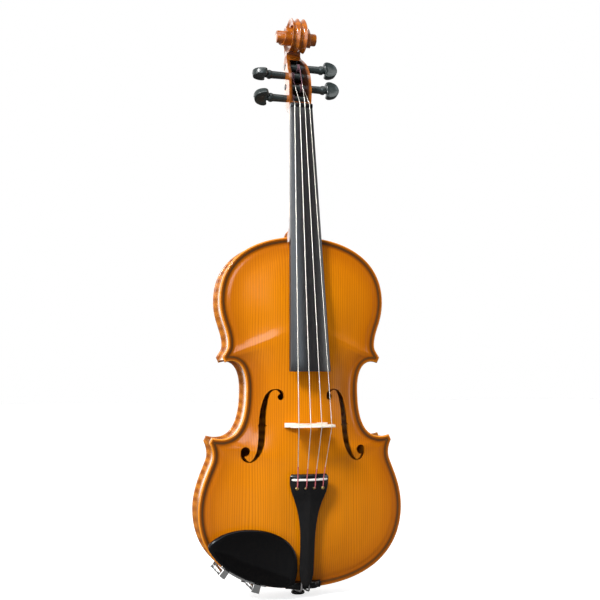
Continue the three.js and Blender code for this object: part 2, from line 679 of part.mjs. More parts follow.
const BRIDGE_HEIGHT = 37; // blank, before its feet are fitted to the arching
const BRIDGE_FOOT = 4.4;
const BRIDGE_TOP = 1.5;
const bridgeSide = [[11.4, 0], [22.2, 0], [22.2, 4.4], [19, 6.2], [15.2, 7.4], [13.6, 10.2], [14.6, 12.8],
  [17.6, 12.4], [18.4, 14], [15.6, 16], [12.4, 15.6], [10.8, 18.4], [12.2, 21.6], [15.4, 22],
  [17.4, 19.8], [19.8, 18.8], [22, 21.6], [22.4, 27]];
const bridgeArch = [[10.6, 4.8], [7.2, 7.4], [0, 8.6]]; // ends at the middle
const bridgeHeart = [[0, 16.4], [2.6, 19.4], [4.6, 22.6], [4, 25.4], [2, 26.2], [0, 24.6]];

function bridge() {
  const crownPoints = [18, 12, 6, 0].map((x) => [x, BRIDGE_HEIGHT - crown(x)]);
  const right = [...bridgeSide, ...crownPoints];
  const left = mirrored(right, -1).reverse().slice(1);
  const arch = [...mirrored(bridgeArch, -1), ...bridgeArch.slice(0, -1).reverse()];
  const shape = new THREE.Shape([...right, ...left, ...arch].map(([x, y]) => new THREE.Vector2(x, y)));
  const heart = [...bridgeHeart, ...mirrored(bridgeHeart.slice(1, -1), -1).reverse()];
  shape.holes.push(new THREE.Path(heart.map(([x, y]) => new THREE.Vector2(x, y))));
  const geometry = new THREE.ExtrudeGeometry(shape, { depth: 1, bevelEnabled: false });
  const position = geometry.attributes.position;
  for (let i = 0; i < position.count; i += 1) {
    const share = position.getY(i) / BRIDGE_HEIGHT;
    const thickness = THREE.MathUtils.lerp(BRIDGE_FOOT, BRIDGE_TOP, share);
    position.setZ(i, BRIDGE_Z + (position.getZ(i) - 0.5) * thickness);
    position.setY(i, BRIDGE_CROWN + BRIDGE_HEIGHT - position.getY(i));
  }
  const flipped = mergeVertices(bareGeometry(geometry), 1e-3);
  return cut(outward(flipped), topPlate.clone().translate(0, -GAP, 0));
}

function bareGeometry(geometry) {
  geometry.deleteAttribute('normal');
  geometry.deleteAttribute('uv');
  return geometry;
}

add('bridge', 'bridgeMaple', bridge());

// ---- Pegs and the string wound on each ----

const COIL_HALF = 1.7;
const COIL_THICKNESS = 0.8;

for (const peg of pegs) {
  const { name, y, z, side, turn, coil, tip } = peg;
  const upright = (geometry) => geometry.rotateZ(-side * Math.PI / 2).translate(0, y, z);
  const profile = [[0, -tip], [pegRadius(-tip), -tip], [pegRadius(PEG_COLLAR - 4), PEG_COLLAR - 4],
    [4.9, PEG_COLLAR - 1], [4.9, PEG_COLLAR], [3.6, PEG_COLLAR + 2.5], [0, PEG_COLLAR + 2.5]];
  const shaft = new THREE.LatheGeometry(profile.map(([r, a]) => new THREE.Vector2(r, a)), 14);
  const heart = new THREE.CatmullRomCurve3([[-3.6, 0], [-7.6, 1.6], [-8.7, 6.5], [-6, 12], [0, 14.4],
    [6, 12], [8.7, 6.5], [7.6, 1.6], [3.6, 0]].map(([r, a]) => new THREE.Vector3(r, a, 0)), true);
  const outlinePoints = heart.getPoints(20).slice(0, -1).map((p) => new THREE.Vector2(p.x, p.y));
  const head = new THREE.ExtrudeGeometry(new THREE.Shape(outlinePoints), { depth: 7, bevelEnabled: false });
  head.translate(0, PEG_HEAD_END - 14.4, -3.5).rotateY(THREE.MathUtils.degToRad(turn));
  add(`peg_${name}`, 'ebony', join(upright(shaft), upright(head)));

  const inner = pegRadius(side * coil) + GAP;
  const outer = inner + COIL_THICKNESS;
  const windings = [[inner, -COIL_HALF], [outer, -COIL_HALF], [outer, COIL_HALF], [inner, COIL_HALF],
    [inner, -COIL_HALF]];
  const ring = new THREE.LatheGeometry(windings.map(([r, a]) => new THREE.Vector2(r, a)), 16);
  ring.translate(0, side * coil, 0);
  add(`string_coil_${name}`, 'steel', upright(ring));
}

// ---- Strings ----

const strings = [
  { name: 'g', place: 0, radius: 0.42, peg: 0 },
  { name: 'd', place: 1, radius: 0.4, peg: 2 },
  { name: 'a', place: 2, radius: 0.35, peg: 3 },
  { name: 'e', place: 3, radius: 0.3, peg: 1 },
];

for (const { name, place, radius, peg } of strings) {
  const { y, z, coil } = pegs[peg];
  const lift = radius + GAP;
  const tailX = stringX(STRING_AT_TAIL)[place];
  const bridgeX = stringX(STRING_AT_BRIDGE)[place];
  const nutX = stringX(STRING_AT_NUT)[place];
  const fretY = -45.6 - GAP - FRET_HEIGHT + crown(tailX) - lift;
  const nutY = BOARD_EDGE_AT_NUT - NUT_RISE - (crown(12) - crown(nutX)) - lift;
  add(`string_${name}`, 'steel', bar([
    [tailX, -41, KEY_Z - 0.2],
    [tailX, fretY + 1.6, KEY_Z + 0.6],
    [tailX, fretY, FRET_Z - 1.4],
    [tailX, fretY, FRET_Z + 1.4],
    [bridgeX, BRIDGE_CROWN + crown(bridgeX) - lift, BRIDGE_Z - 0.9],
    [bridgeX, BRIDGE_CROWN + crown(bridgeX) - lift, BRIDGE_Z + 0.9],
    [nutX, nutY, NUT_Z + 0.4],
    [nutX, nutY, NUT_Z + NUT_LENGTH],
    [coil, y - pegRadius(0) - GAP * 2 - 1.2 - radius, z],
  ], radius));
}

// ---- Chinrest ----

const restOutline = new THREE.CatmullRomCurve3([
  [-99, 49], [-88, 57.5], [-72, 61.8], [-56, 62.2], [-38, 59], [-22, 51], [-12, 39], [-9.6, 24], [-12.5, 9.5],
  [-22, 4.5], [-40, 7], [-62, 14.5], [-82, 26], [-95, 39],
].map(([x, z]) => new THREE.Vector3(x, 0, z)), true, 'catmullrom', 0.5);
const REST_CENTRE = [-54, 33];
const restRings = [[0.74, -25.4], [0.96, -27.6], [1, -30.5], [0.985, -33], [0.94, -34], [0.8, -32.6], [0.4, -29.6]];

const restPoints = restOutline.getPoints(40).slice(0, -1);
add('chinrest_plate', 'ebony', loft(restRings.map(([scale, y]) => restPoints.map((p) => new THREE.Vector3(
  REST_CENTRE[0] + (p.x - REST_CENTRE[0]) * scale,
  y,
  REST_CENTRE[1] + (p.z - REST_CENTRE[1]) * scale,
)))));

// Clamp: bars over and under the body's edge, drawn together by two barrels with opposite threads.
const bottomEdge = bezier(stretches.bottom.curve);
const CLAMP_SPAN = [0.46, 0.8];
const legShares = [0.51, 0.745];
const EAR_SHARE = 0.022; // half the length of the ear that carries each leg
const LEG_OUT = 4.1; // leg centre outside the body's edge
const POST_RADIUS = 1.5;

function outsideEdge(share, distance) {
  const point = bottomEdge.getPoint(share);
  const tangent = bottomEdge.getTangent(share);
  return [-(point.x - tangent.y * distance), point.y + tangent.x * distance];
}

function edgeStrip(near, far, yFrom, yTo, span = CLAMP_SPAN) {
  const steps = 6;
  const shares = Array.from({ length: steps + 1 }, (_, i) => (
    THREE.MathUtils.lerp(span[0], span[1], i / steps)));
  const points = [
    ...shares.map((share) => outsideEdge(share, near)),
    ...shares.map((share) => outsideEdge(share, far)).reverse(),
  ];
  return slab(points, yFrom, yTo);
}

const legs = legShares.map((share) => outsideEdge(share, LEG_OUT));
add('chinrest_cork', 'cork', edgeStrip(-7, -0.5, -21.9, -20.2));
add('clamp_cork', 'cork', edgeStrip(-7, -0.5, 20.2, 21.9));
const upperLegs = legs.map(([x, z]) => rod('y', [x, -24, z], 22.5, POST_RADIUS, 12));
const lowerLegs = legs.map(([x, z]) => rod('y', [x, 1.5, z], 22.5, POST_RADIUS, 12));
const bracket = (near, yFrom, yTo) => join(
  edgeStrip(near, -0.5, yFrom, yTo),
  ...legShares.map((share) => edgeStrip(-4, 7, yFrom, yTo, [share - EAR_SHARE, share + EAR_SHARE])),
);
add('clamp_upper_bracket', 'steel', join(bracket(-8, -24.6, -22.2), ...upperLegs));
add('clamp_foot_bracket', 'steel', join(bracket(-7, 22.2, 24.4), ...lowerLegs));

const BARREL_HALF = 11;
const barrelProfile = [[POST_RADIUS + GAP, -BARREL_HALF], [3, -BARREL_HALF], [3, BARREL_HALF],
  [POST_RADIUS + GAP, BARREL_HALF], [POST_RADIUS + GAP, -BARREL_HALF]];
legs.forEach(([x, z], i) => {
  const barrel = new THREE.LatheGeometry(barrelProfile.map(([r, y]) => new THREE.Vector2(r, y)), 14);
  add(`clamp_barrel_${i ? 'right' : 'left'}`, 'steel', barrel.translate(x, 0, z));
});

const group = new THREE.Group();
group.add(violin);

export default group;
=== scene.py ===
"""Looks of the violin: fine surfaces, varnish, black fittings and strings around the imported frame.

Shapes are worked out in millimetres in body coordinates: x to the treble side, y from the front
(negative) to the back, z up from the body's lower edge. place() turns them into the frame's metres.
"""
import math

import bmesh
import bpy
import numpy as np
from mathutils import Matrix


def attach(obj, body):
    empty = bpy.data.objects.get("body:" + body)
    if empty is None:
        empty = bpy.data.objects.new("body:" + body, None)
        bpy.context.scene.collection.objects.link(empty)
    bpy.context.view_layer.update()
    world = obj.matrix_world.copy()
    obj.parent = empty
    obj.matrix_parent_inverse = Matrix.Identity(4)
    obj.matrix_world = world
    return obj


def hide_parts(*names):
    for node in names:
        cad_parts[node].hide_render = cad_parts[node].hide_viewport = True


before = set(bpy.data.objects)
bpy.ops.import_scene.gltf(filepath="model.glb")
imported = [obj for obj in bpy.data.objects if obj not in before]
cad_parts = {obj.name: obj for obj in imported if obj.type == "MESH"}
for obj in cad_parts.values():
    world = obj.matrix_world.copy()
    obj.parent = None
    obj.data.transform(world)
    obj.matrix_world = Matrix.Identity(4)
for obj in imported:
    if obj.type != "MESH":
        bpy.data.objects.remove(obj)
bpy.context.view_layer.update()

MM = 0.001
BODY_LIFT = 9.5  # body's lower edge above the end button's face
BODY_LENGTH = 356.0
RIB_HALF = 15.0
EDGE = 4.0
PLATE = 3.0
TOP_ARCH = 11.5
BACK_ARCH = 10.5
OVERHANG = 2.8
RIB = 1.2
GAP = 0.3
CROWN_RADIUS = 42.0
BRIDGE_Z = 163.4
BRIDGE_CROWN = -65.0
NUT_Z = 494.0
NUT_LENGTH = 5.0
NUT_RISE = 0.9
BOARD_END_Z = 217.0
BOARD_EDGE_AT_NUT = -14.2
BOARD_SLOPE = 0.1155
BOARD_SIDE = 5.0
FRET_Z = 110.4
KEY_Z = 102.0
TAIL_CROWN = -45.6
STRING_AT_NUT = 2.75
STRING_AT_BRIDGE = 5.6
STRING_AT_TAIL = 4.4
BOARD_HALF_AT_NUT = 12.0
BOARD_WIDENING = 9.0
HAIR = 0.02  # gap that keeps glued faces from sharing a plane
AXIS = 0.001  # a turned profile's radius where it meets its axis
SIDES = {"left": -1, "right": 1}
FLOOR_HALF = 6.0  # metres
FLOOR_GLOW = 0.72
FLOOR_TONE = 0.1
FLOOR_TONE_TO_LENS = 0.45


# ---- Camera, floor and light ----

def add_camera():
    """Slightly left of the violin and a little above its bridge, looking a touch upwards."""
    data = bpy.data.cameras.new("camera")
    data.lens = 55.24
    data.sensor_width = 36
    camera = bpy.data.objects.new("camera", data)
    camera.location = (-0.267, -0.9259, 0.2261)
    camera.rotation_euler = (math.pi / 2 + 0.078, 0, -0.283)
    bpy.context.scene.collection.objects.link(camera)
    bpy.context.scene.camera = camera


def set_view():
    """Plain colours, with no film curve over them."""
    bpy.context.scene.view_settings.view_transform = "Standard"


def add_softbox(name, place, target, size, power, colour=(1, 1, 1)):
    """Rectangular lamp in metres, turned by its yaw and drop so that it faces the target."""
    data = bpy.data.lights.new(name, "AREA")
    data.shape = "RECTANGLE"
    data.size, data.size_y = size
    data.energy = power
    data.color = colour
    light = bpy.data.objects.new(name, data)
    light.location = place
    aim = np.subtract(target, place)
    yaw = math.atan2(aim[1], aim[0])
    drop = math.atan2(-aim[2], math.hypot(aim[0], aim[1]))
    light.rotation_euler = (math.pi / 2 - drop, 0, yaw - math.pi / 2)
    bpy.context.scene.collection.objects.link(light)


def add_room():
    """White to the lens, white behind the violin, and dim in front of it so that black wood stays black."""
    world = bpy.data.worlds.new("studio")
    bpy.context.scene.world = world
    world.use_nodes = True
    nodes, links = world.node_tree.nodes, world.node_tree.links
    nodes.clear()
    direction = nodes.new("ShaderNodeTexCoord")
    parts = nodes.new("ShaderNodeSeparateXYZ")
    depth = nodes.new("ShaderNodeMapRange")
    for label, value in (("From Min", -0.25), ("From Max", 0.75), ("To Min", 0.05), ("To Max", 1.0)):
        depth.inputs[label].default_value = value
    path = nodes.new("ShaderNodeLightPath")
    seen = nodes.new("ShaderNodeMath")
    seen.operation = "MAXIMUM"
    background = nodes.new("ShaderNodeBackground")
    background.inputs["Color"].default_value = (1, 1, 1, 1)
    output = nodes.new("ShaderNodeOutputWorld")
    links.new(direction.outputs["Generated"], parts.inputs[0])
    links.new(parts.outputs["Y"], depth.inputs["Value"])
    links.new(depth.outputs[0], seen.inputs[0])
    links.new(path.outputs["Is Camera Ray"], seen.inputs[1])
    links.new(seen.outputs[0], background.inputs["Strength"])
    links.new(background.outputs[0], output.inputs["Surface"])


def add_floor():
    """White to the lens with a soft shadow, but dim in what the violin's lower half mirrors."""
    mesh = bpy.data.meshes.new("floor")
    corners = [(x * FLOOR_HALF, y * FLOOR_HALF, 0) for x, y in ((-1, -1), (1, -1), (1, 1), (-1, 1))]
    mesh.from_pydata(corners, [], [(0, 1, 2, 3)])
    floor = bpy.data.objects.new("floor", mesh)
    bpy.context.scene.collection.objects.link(floor)
    material, shader = new_material("pale_floor", (0.55, 0.55, 0.55), 0.7)
    tree = material.node_tree
    lens = tree.nodes.new("ShaderNodeLightPath")
    glow = math_node(tree, "MULTIPLY", lens.outputs["Is Camera Ray"], FLOOR_GLOW)
    tone = math_node(tree, "MULTIPLY_ADD", lens.outputs["Is Camera Ray"], FLOOR_TONE_TO_LENS, FLOOR_TONE)
    tree.links.new(glow, shader.inputs["Emission Strength"])
    tree.links.new(tone, shader.inputs["Base Color"])
    shader.inputs["Emission Color"].default_value = (1, 1, 1, 1)
    mesh.materials.append(material)


def add_lights():
    """A small key high on the left that throws the shadows, fills far out where no flat front face
    mirrors them, a weak cool panel that greys the left half of the fingerboard, and a screen behind
    for the ribs."""
    aim = (0, 0, 0.3)
    add_softbox("sun_key", (-1.3, -1.25, 1.6), aim, (0.45, 0.45), 55)
    add_softbox("left_fill", (-1.9, -0.9, 0.6), aim, (1.2, 1.6), 21)
    add_softbox("right_strip", (1.5, -0.67, 0.45), aim, (0.4, 1.3), 8)
    add_softbox("overhead", (0.1, -0.9, 2.0), aim, (1.6, 0.9), 14)
    add_softbox("cool_panel", (-0.55, -1.65, 0.95), aim, (0.5, 0.9), 9, (0.75, 0.88, 1.0))
    add_softbox("back_screen", (-0.5, 1.3, 0.45), aim, (1.0, 1.4), 7)


def new_material(name, colour, roughness, metallic=0.0):
    """Material with its starting values, and its shader."""
    material = bpy.data.materials.new(name)
    material.use_nodes = True
    shader = material.node_tree.nodes["Principled BSDF"]
    shader.inputs["Base Color"].default_value = (*colour, 1)
    shader.inputs["Roughness"].default_value = roughness
    shader.inputs["Metallic"].default_value = metallic
    return material, shader


# ---- Shader groups ----

def new_group(name, inputs, outputs):
    """Empty shader group with float inputs given as (name, default) and outputs given as (name, type)."""
    group = bpy.data.node_groups.new(name, "ShaderNodeTree")
    for label, value in inputs:
        socket = group.interface.new_socket(name=label, in_out="INPUT", socket_type="NodeSocketFloat")
        socket.default_value = value
    for label, kind in outputs:
        group.interface.new_socket(name=label, in_out="OUTPUT", socket_type=kind)
    return group, group.nodes.new("NodeGroupInput"), group.nodes.new("NodeGroupOutput")


def math_node(tree, operation, first, second=None, third=None, clamp=False):
    """One step of arithmetic on numbers or sockets."""
    node = tree.nodes.new("ShaderNodeMath")
    node.operation = operation
    node.use_clamp = clamp
    for socket, value in zip(node.inputs, (first, second, third)):
        if value is None:
            continue
        if isinstance(value, (int, float)):
            socket.default_value = value
        else:
            tree.links.new(value, socket)
    return node.outputs[0]


def scaled_object_coordinates(tree, scale):
    """Object coordinates in metres, times a scale for each axis: a small scale draws a pattern out."""
    where = tree.nodes.new("ShaderNodeTexCoord")
    mapping = tree.nodes.new("ShaderNodeMapping")
    mapping.inputs["Scale"].default_value = scale
    tree.links.new(where.outputs["Object"], mapping.inputs["Vector"])
    return mapping.outputs[0]


def noise(tree, vector, scale, detail):
    """Smooth noise between 0 and 1."""
    node = tree.nodes.new("ShaderNodeTexNoise")
    node.inputs["Scale"].default_value = scale
    node.inputs["Detail"].default_value = detail
    tree.links.new(vector, node.inputs["Vector"])
    return node.outputs["Fac"]


def object_axis(tree, axis):
    """One of the object's own coordinates, in metres."""
    where = tree.nodes.new("ShaderNodeTexCoord")
    parts = tree.nodes.new("ShaderNodeSeparateXYZ")
    tree.links.new(where.outputs["Object"], parts.inputs[0])
    return parts.outputs[axis]


def make_annual_rings():
    """Straight grain along z: lines counted across x and bent a little by slow noise. The fraction left
    over at each place, to the fourth power, is a sharp line."""
    tree, start, end = new_group(
        "annual_rings", [("Lines per metre", 700.0), ("Waviness", 0.25)],
        [("Line", "NodeSocketFloat"), ("Drift", "NodeSocketFloat")])
    bend = noise(tree, scaled_object_coordinates(tree, (1, 1, 0.12)), 30.0, 1.0)
    shift = math_node(tree, "MULTIPLY", math_node(tree, "SUBTRACT", bend, 0.5), start.outputs["Waviness"])
    count = math_node(tree, "MULTIPLY", object_axis(tree, "X"), start.outputs["Lines per metre"])
    bent = math_node(tree, "ADD", count, math_node(tree, "MULTIPLY", shift, 14.0))
    line = math_node(tree, "POWER", math_node(tree, "FRACT", bent), 4.0)
    drift = noise(tree, scaled_object_coordinates(tree, (60, 60, 2.5)), 1.0, 3.0)
    tree.links.new(line, end.inputs["Line"])
    tree.links.new(drift, end.inputs["Drift"])
    return tree


def make_flame_figure():
    """Maple figure: soft bands across the grain, their edges broken by noise and their strength uneven."""
    tree, start, end = new_group(
        "flame_figure", [("Bands per metre", 110.0)],
        [("Band", "NodeSocketFloat"), ("Fibre", "NodeSocketFloat")])
    warp = noise(tree, scaled_object_coordinates(tree, (16, 16, 9)), 1.0, 2.0)
    slope = math_node(tree, "MULTIPLY", object_axis(tree, "X"), 0.25)
    along = math_node(tree, "ADD", object_axis(tree, "Z"), slope)
    phase = math_node(tree, "MULTIPLY", along, start.outputs["Bands per metre"])
    phase = math_node(tree, "ADD", phase, math_node(tree, "MULTIPLY", warp, 3.2))
    wave = math_node(tree, "SINE", math_node(tree, "MULTIPLY", phase, math.tau))
    strength = noise(tree, scaled_object_coordinates(tree, (35, 35, 22)), 1.0, 1.0)
    uneven = math_node(tree, "MULTIPLY", wave, strength)
    band = math_node(tree, "MULTIPLY_ADD", uneven, 0.8, 0.5, clamp=True)
    fibre = noise(tree, scaled_object_coordinates(tree, (900, 900, 30)), 1.0, 2.0)
    tree.links.new(band, end.inputs["Band"])
    tree.links.new(fibre, end.inputs["Fibre"])
    return tree


def make_handling():
    """Uneven polish: large cloudy patches plus a fine grain, for roughness and height."""
    tree, start, end = new_group(
        "handling", [("Amount", 0.1), ("Base", 0.3)],
        [("Roughness", "NodeSocketFloat"), ("Height", "NodeSocketFloat")])
    cloudy = noise(tree, scaled_object_coordinates(tree, (28, 28, 28)), 1.0, 3.0)
    fine = noise(tree, scaled_object_coordinates(tree, (1400, 1400, 420)), 1.0, 2.0)
    patches = math_node(tree, "MULTIPLY", cloudy, 0.75)
    mixed = math_node(tree, "ADD", patches, math_node(tree, "MULTIPLY", fine, 0.25))
    offset = math_node(tree, "MULTIPLY", math_node(tree, "SUBTRACT", mixed, 0.5), start.outputs["Amount"])
    tree.links.new(math_node(tree, "ADD", start.outputs["Base"], offset), end.inputs["Roughness"])
    tree.links.new(fine, end.inputs["Height"])
    return tree


GROUPS = {
    "rings": make_annual_rings(),
    "flame": make_flame_figure(),
    "handling": make_handling(),
}


def use_group(tree, key, **values):
    """A shader group placed in a material with its own values."""
    node = tree.nodes.new("ShaderNodeGroup")
    node.node_tree = GROUPS[key]
    for label, value in values.items():
        node.inputs[label.replace("_", " ")].default_value = value
    return node


def ramp(tree, factor, stops):
    """Colour ramp from (position, colour) stops."""
    node = tree.nodes.new("ShaderNodeValToRGB")
    elements = node.color_ramp.elements
    while len(elements) < len(stops):
        elements.new(0.5)
    for element, (position, colour) in zip(elements, stops):
        element.position = position
        element.color = (*colour, 1)
    tree.links.new(factor, node.inputs["Fac"])
    return node.outputs["Color"]


def mix_colours(tree, factor, first, second):
    """The first colour where the factor is 0, and the second where it is 1."""
    node = tree.nodes.new("ShaderNodeMix")
    node.data_type = "RGBA"
    for label, value in (("Factor", factor), ("A", first), ("B", second)):
        socket = node.inputs[label]
        if isinstance(value, tuple):
            socket.default_value = (*value, 1)
        else:
            tree.links.new(value, socket)
    return node.outputs["Result"]


def bump(tree, shader, height, strength, distance):
    """Relief on the shader's surface, up to a distance in metres."""
    node = tree.nodes.new("ShaderNodeBump")
    node.inputs["Strength"].default_value = strength
    node.inputs["Distance"].default_value = distance
    tree.links.new(height, node.inputs["Height"])
    tree.links.new(node.outputs[0], shader.inputs["Normal"])


def polished(tree, shader, amount, base, grain=0.0):
    """Uneven polish on the shader's roughness, and on its surface where grain is given."""
    polish = use_group(tree, "handling", Amount=amount, Base=base)
    tree.links.new(polish.outputs["Roughness"], shader.inputs["Roughness"])
    if grain:
        bump(tree, shader, polish.outputs["Height"], grain, 0.0001)


def wave_along_z(tree, waves_per_metre):
    """Sine of the place along z."""
    phase = math_node(tree, "MULTIPLY", object_axis(tree, "Z"), waves_per_metre * math.tau)
    return math_node(tree, "SINE", phase)


def varnish_coat(shader, weight, roughness):
    """Clear gloss over the colour."""
    shader.inputs["Coat Weight"].default_value = weight
    shader.inputs["Coat Roughness"].default_value = roughness


def attribute(tree, name):
    """A number that the piece carries at each of its points."""
    node = tree.nodes.new("ShaderNodeAttribute")
    node.attribute_name = name
    return node.outputs["Fac"]


# ---- Materials ----

def spruce_varnish():
    """Golden varnish over straight grain, browner towards the outline. Along the edge run a lighter line
    right at it, the brown channel and the inlaid purfling: two black lines with a brown one between."""
    material, shader = new_material("spruce_varnish", (0.8, 0.28, 0.01), 0.18)
    tree = material.node_tree
    rings = use_group(tree, "rings", Lines_per_metre=420.0, Waviness=0.35)
    polished(tree, shader, 0.1, 0.2)
    field = ramp(tree, attribute(tree, "rim"), [
        (0.0, (0.36, 0.088, 0.002)), (0.14, (0.44, 0.115, 0.0015)),
        (0.4, (0.68, 0.205, 0.0015)), (1.0, (0.84, 0.27, 0.0015))])
    drift = math_node(tree, "MULTIPLY", rings.outputs["Drift"], 0.5)
    cloud = mix_colours(tree, drift, field, (0.5, 0.14, 0.001))
    uneven = noise(tree, scaled_object_coordinates(tree, (700, 700, 5)), 1.0, 3.0)
    uneven = math_node(tree, "MULTIPLY", uneven, 0.3)
    strength = math_node(tree, "MULTIPLY_ADD", rings.outputs["Line"], 0.62, uneven)
    lined = mix_colours(tree, strength, cloud, (0.3, 0.068, 0.001))
    brown, black, inlay = (0.17, 0.04, 0.002), (0.012, 0.007, 0.004), (0.1, 0.045, 0.012)
    border = ramp(tree, attribute(tree, "edge"), [
        (0.0, (0.7, 0.25, 0.015)), (0.12, (0.66, 0.21, 0.01)), (0.22, (0.26, 0.065, 0.002)), (0.41, brown),
        (0.44, black), (0.5, inlay), (0.54, inlay), (0.6, black), (0.64, brown), (1.0, (0.36, 0.09, 0.001))])
    inside = math_node(tree, "GREATER_THAN", attribute(tree, "edge"), 0.995)
    soft = math_node(tree, "SUBTRACT", 1.0, math_node(tree, "POWER", attribute(tree, "edge"), 6.0))
    blend = math_node(tree, "MULTIPLY", soft, math_node(tree, "SUBTRACT", 1.0, inside))
    whole = mix_colours(tree, blend, lined, border)
    tree.links.new(whole, shader.inputs["Base Color"])
    shader.inputs["Specular IOR Level"].default_value = 0.25
    varnish_coat(shader, 0.15, 0.08)
    bump(tree, shader, rings.outputs["Line"], 0.12, 0.0002)
    return material


def maple_varnish(name, light, dark, bands, handled=False):
    """Red-brown varnish over flamed maple. A handled neck is bare pale wood where its attribute says so,
    and painted near black inside its pegbox as shade in the hollow."""
    material, shader = new_material(name, light, 0.2)
    tree = material.node_tree
    figure = use_group(tree, "flame", Bands_per_metre=bands)
    polished(tree, shader, 0.1, 0.2)
    colour = ramp(tree, figure.outputs["Band"], [(0.1, dark), (0.9, light)])
    colour = mix_colours(tree, math_node(tree, "MULTIPLY", figure.outputs["Fibre"], 0.2), colour, dark)
    if handled:
        colour = mix_colours(tree, attribute(tree, "bare"), colour, (0.8, 0.6, 0.42))
        # Painted shade: the pegbox's hollow is coloured near black, as if in shadow.
        colour = mix_colours(tree, attribute(tree, "pegbox_painted_shade"), colour, (0.035, 0.012, 0.006))
    tree.links.new(colour, shader.inputs["Base Color"])
    varnish_coat(shader, 0.3, 0.1)
    bump(tree, shader, figure.outputs["Fibre"], 0.05, 0.0001)
    return material


def black_wood(name, base, amount, tone=0.012, specular=0.5):
    """Dense black wood: nearly black, with faint brown pores drawn out along z."""
    material, shader = new_material(name, (tone, tone, tone * 1.1), base)
    tree = material.node_tree
    shader.inputs["Specular IOR Level"].default_value = specular
    polished(tree, shader, amount, base)
    pores = noise(tree, scaled_object_coordinates(tree, (1100, 1100, 60)), 1.0, 2.0)
    pore_tone = (tone * 2.4, tone * 2.1, tone * 2.0)
    colour = ramp(tree, pores, [(0.35, (tone, tone, tone * 1.15)), (0.75, pore_tone)])
    tree.links.new(colour, shader.inputs["Base Color"])
    bump(tree, shader, pores, 0.08, 0.0001)
    return material


def peg_wood():
    """Black peg, brown to orange near the pegbox where its dye is worn and a reflection of the pegbox wall
    is painted, given by the peg's own attribute.
    """
    material, shader = new_material("peg_wood", (0.03, 0.038, 0.036), 0.32)
    tree = material.node_tree
    polished(tree, shader, 0.12, 0.32, grain=0.06)
    speckle = noise(tree, scaled_object_coordinates(tree, (500, 500, 500)), 1.0, 2.0)
    # Partly real wear and partly a painted reflection of the orange pegbox wall on the shaft.
    wear_and_reflection = math_node(tree, "SUBTRACT", attribute(tree, "wear_and_reflection"), 0.17)
    colour = ramp(tree, math_node(tree, "MULTIPLY_ADD", speckle, 0.35, wear_and_reflection), [
        (0.25, (0.022, 0.029, 0.028)), (0.6, (0.16, 0.06, 0.02)), (0.85, (0.6, 0.2, 0.012))])
    tree.links.new(colour, shader.inputs["Base Color"])
    return material


def plain_wood(name, light, dark, roughness):
    """Unvarnished wood: fine flecks along the grain."""
    material, shader = new_material(name, light, roughness)
    tree = material.node_tree
    polished(tree, shader, 0.1, roughness)
    flecks = noise(tree, scaled_object_coordinates(tree, (500, 160, 900)), 1.0, 3.0)
    tree.links.new(ramp(tree, flecks, [(0.35, dark), (0.6, light)]), shader.inputs["Base Color"])
    bump(tree, shader, flecks, 0.1, 0.0001)
    return material


def cork_sheet():
    """Pressed cork: darker joints between its cells."""
    material, shader = new_material("cork_sheet", (0.4, 0.24, 0.12), 0.85)
    tree = material.node_tree
    cells = tree.nodes.new("ShaderNodeTexVoronoi")
    cells.inputs["Scale"].default_value = 1300.0
    tree.links.new(scaled_object_coordinates(tree, (1, 1, 1)), cells.inputs["Vector"])
    colour = ramp(tree, cells.outputs["Distance"], [(0.1, (0.22, 0.11, 0.05)), (0.5, (0.5, 0.31, 0.16))])
    tree.links.new(colour, shader.inputs["Base Color"])
    bump(tree, shader, cells.outputs["Distance"], 0.4, 0.0003)
    return material


def wound_metal(name, colour, turns_per_metre):
    """Flat winding: fine ridges across the string."""
    material, shader = new_material(name, colour, 0.3, 1.0)
    polished(material.node_tree, shader, 0.15, 0.3)
    bump(material.node_tree, shader, wave_along_z(material.node_tree, turns_per_metre), 0.3, 0.00005)
    return material


def silk_thread(name, crest, valley):
    """Silk wound round the string: close threads, lighter on their crowns."""
    material, shader = new_material(name, crest, 0.55)
    tree = material.node_tree
    thread = math_node(tree, "MULTIPLY_ADD", wave_along_z(tree, 2600), 0.5, 0.5)
    tree.links.new(ramp(tree, thread, [(0.0, valley), (1.0, crest)]), shader.inputs["Base Color"])
    shader.inputs["Sheen Weight"].default_value = 0.5
    bump(tree, shader, thread, 0.4, 0.0001)
    return material


def smooth(name, colour, roughness, amount, grain=0.0, metallic=0.0):
    """Moulded, polished or plated material with uneven polish."""
    material, shader = new_material(name, colour, roughness, metallic)
    polished(material.node_tree, shader, amount, roughness, grain)
    return material


# ---- Mesh helpers ----

def place(points):
    """Body coordinates in millimetres to the frame's metres."""
    return (np.asarray(points, float) + (0, 0, BODY_LIFT)) * MM


def new_object(name, points, faces):
    """Mesh object at the origin, from body-coordinate points, with doubles merged and faces outwards."""
    mesh = bpy.data.meshes.new(name)
    mesh.from_pydata(place(points).tolist(), [], faces)
    work = bmesh.new()
    work.from_mesh(mesh)
    bmesh.ops.remove_doubles(work, verts=work.verts, dist=1e-6)
    bmesh.ops.recalc_face_normals(work, faces=work.faces)
    work.to_mesh(mesh)
    work.free()
    piece = bpy.data.objects.new(name, mesh)
    bpy.context.scene.collection.objects.link(piece)
    return piece


def ring_faces(rings, count, start=0, caps=True):
    """Quads between neighbouring closed rings of count points, and one face over each end."""
    row = np.arange(rings - 1)[:, None] * count
    column = np.arange(count)[None, :]
    after = (column + 1) % count
    quads = np.stack([row + column, row + after, row + count + after, row + count + column], -1)
    faces = (quads.reshape(-1, 4) + start).tolist()
    if caps:
        faces.append((np.arange(count)[::-1] + start).tolist())
        faces.append((np.arange(count) + start + (rings - 1) * count).tolist())
    return faces


def loft(name, rings):
    """Closed surface through an array of rings, shaped (rings, points, 3)."""
    rings = np.asarray(rings, float)
    return new_object(name, rings.reshape(-1, 3), ring_faces(*rings.shape[:2]))


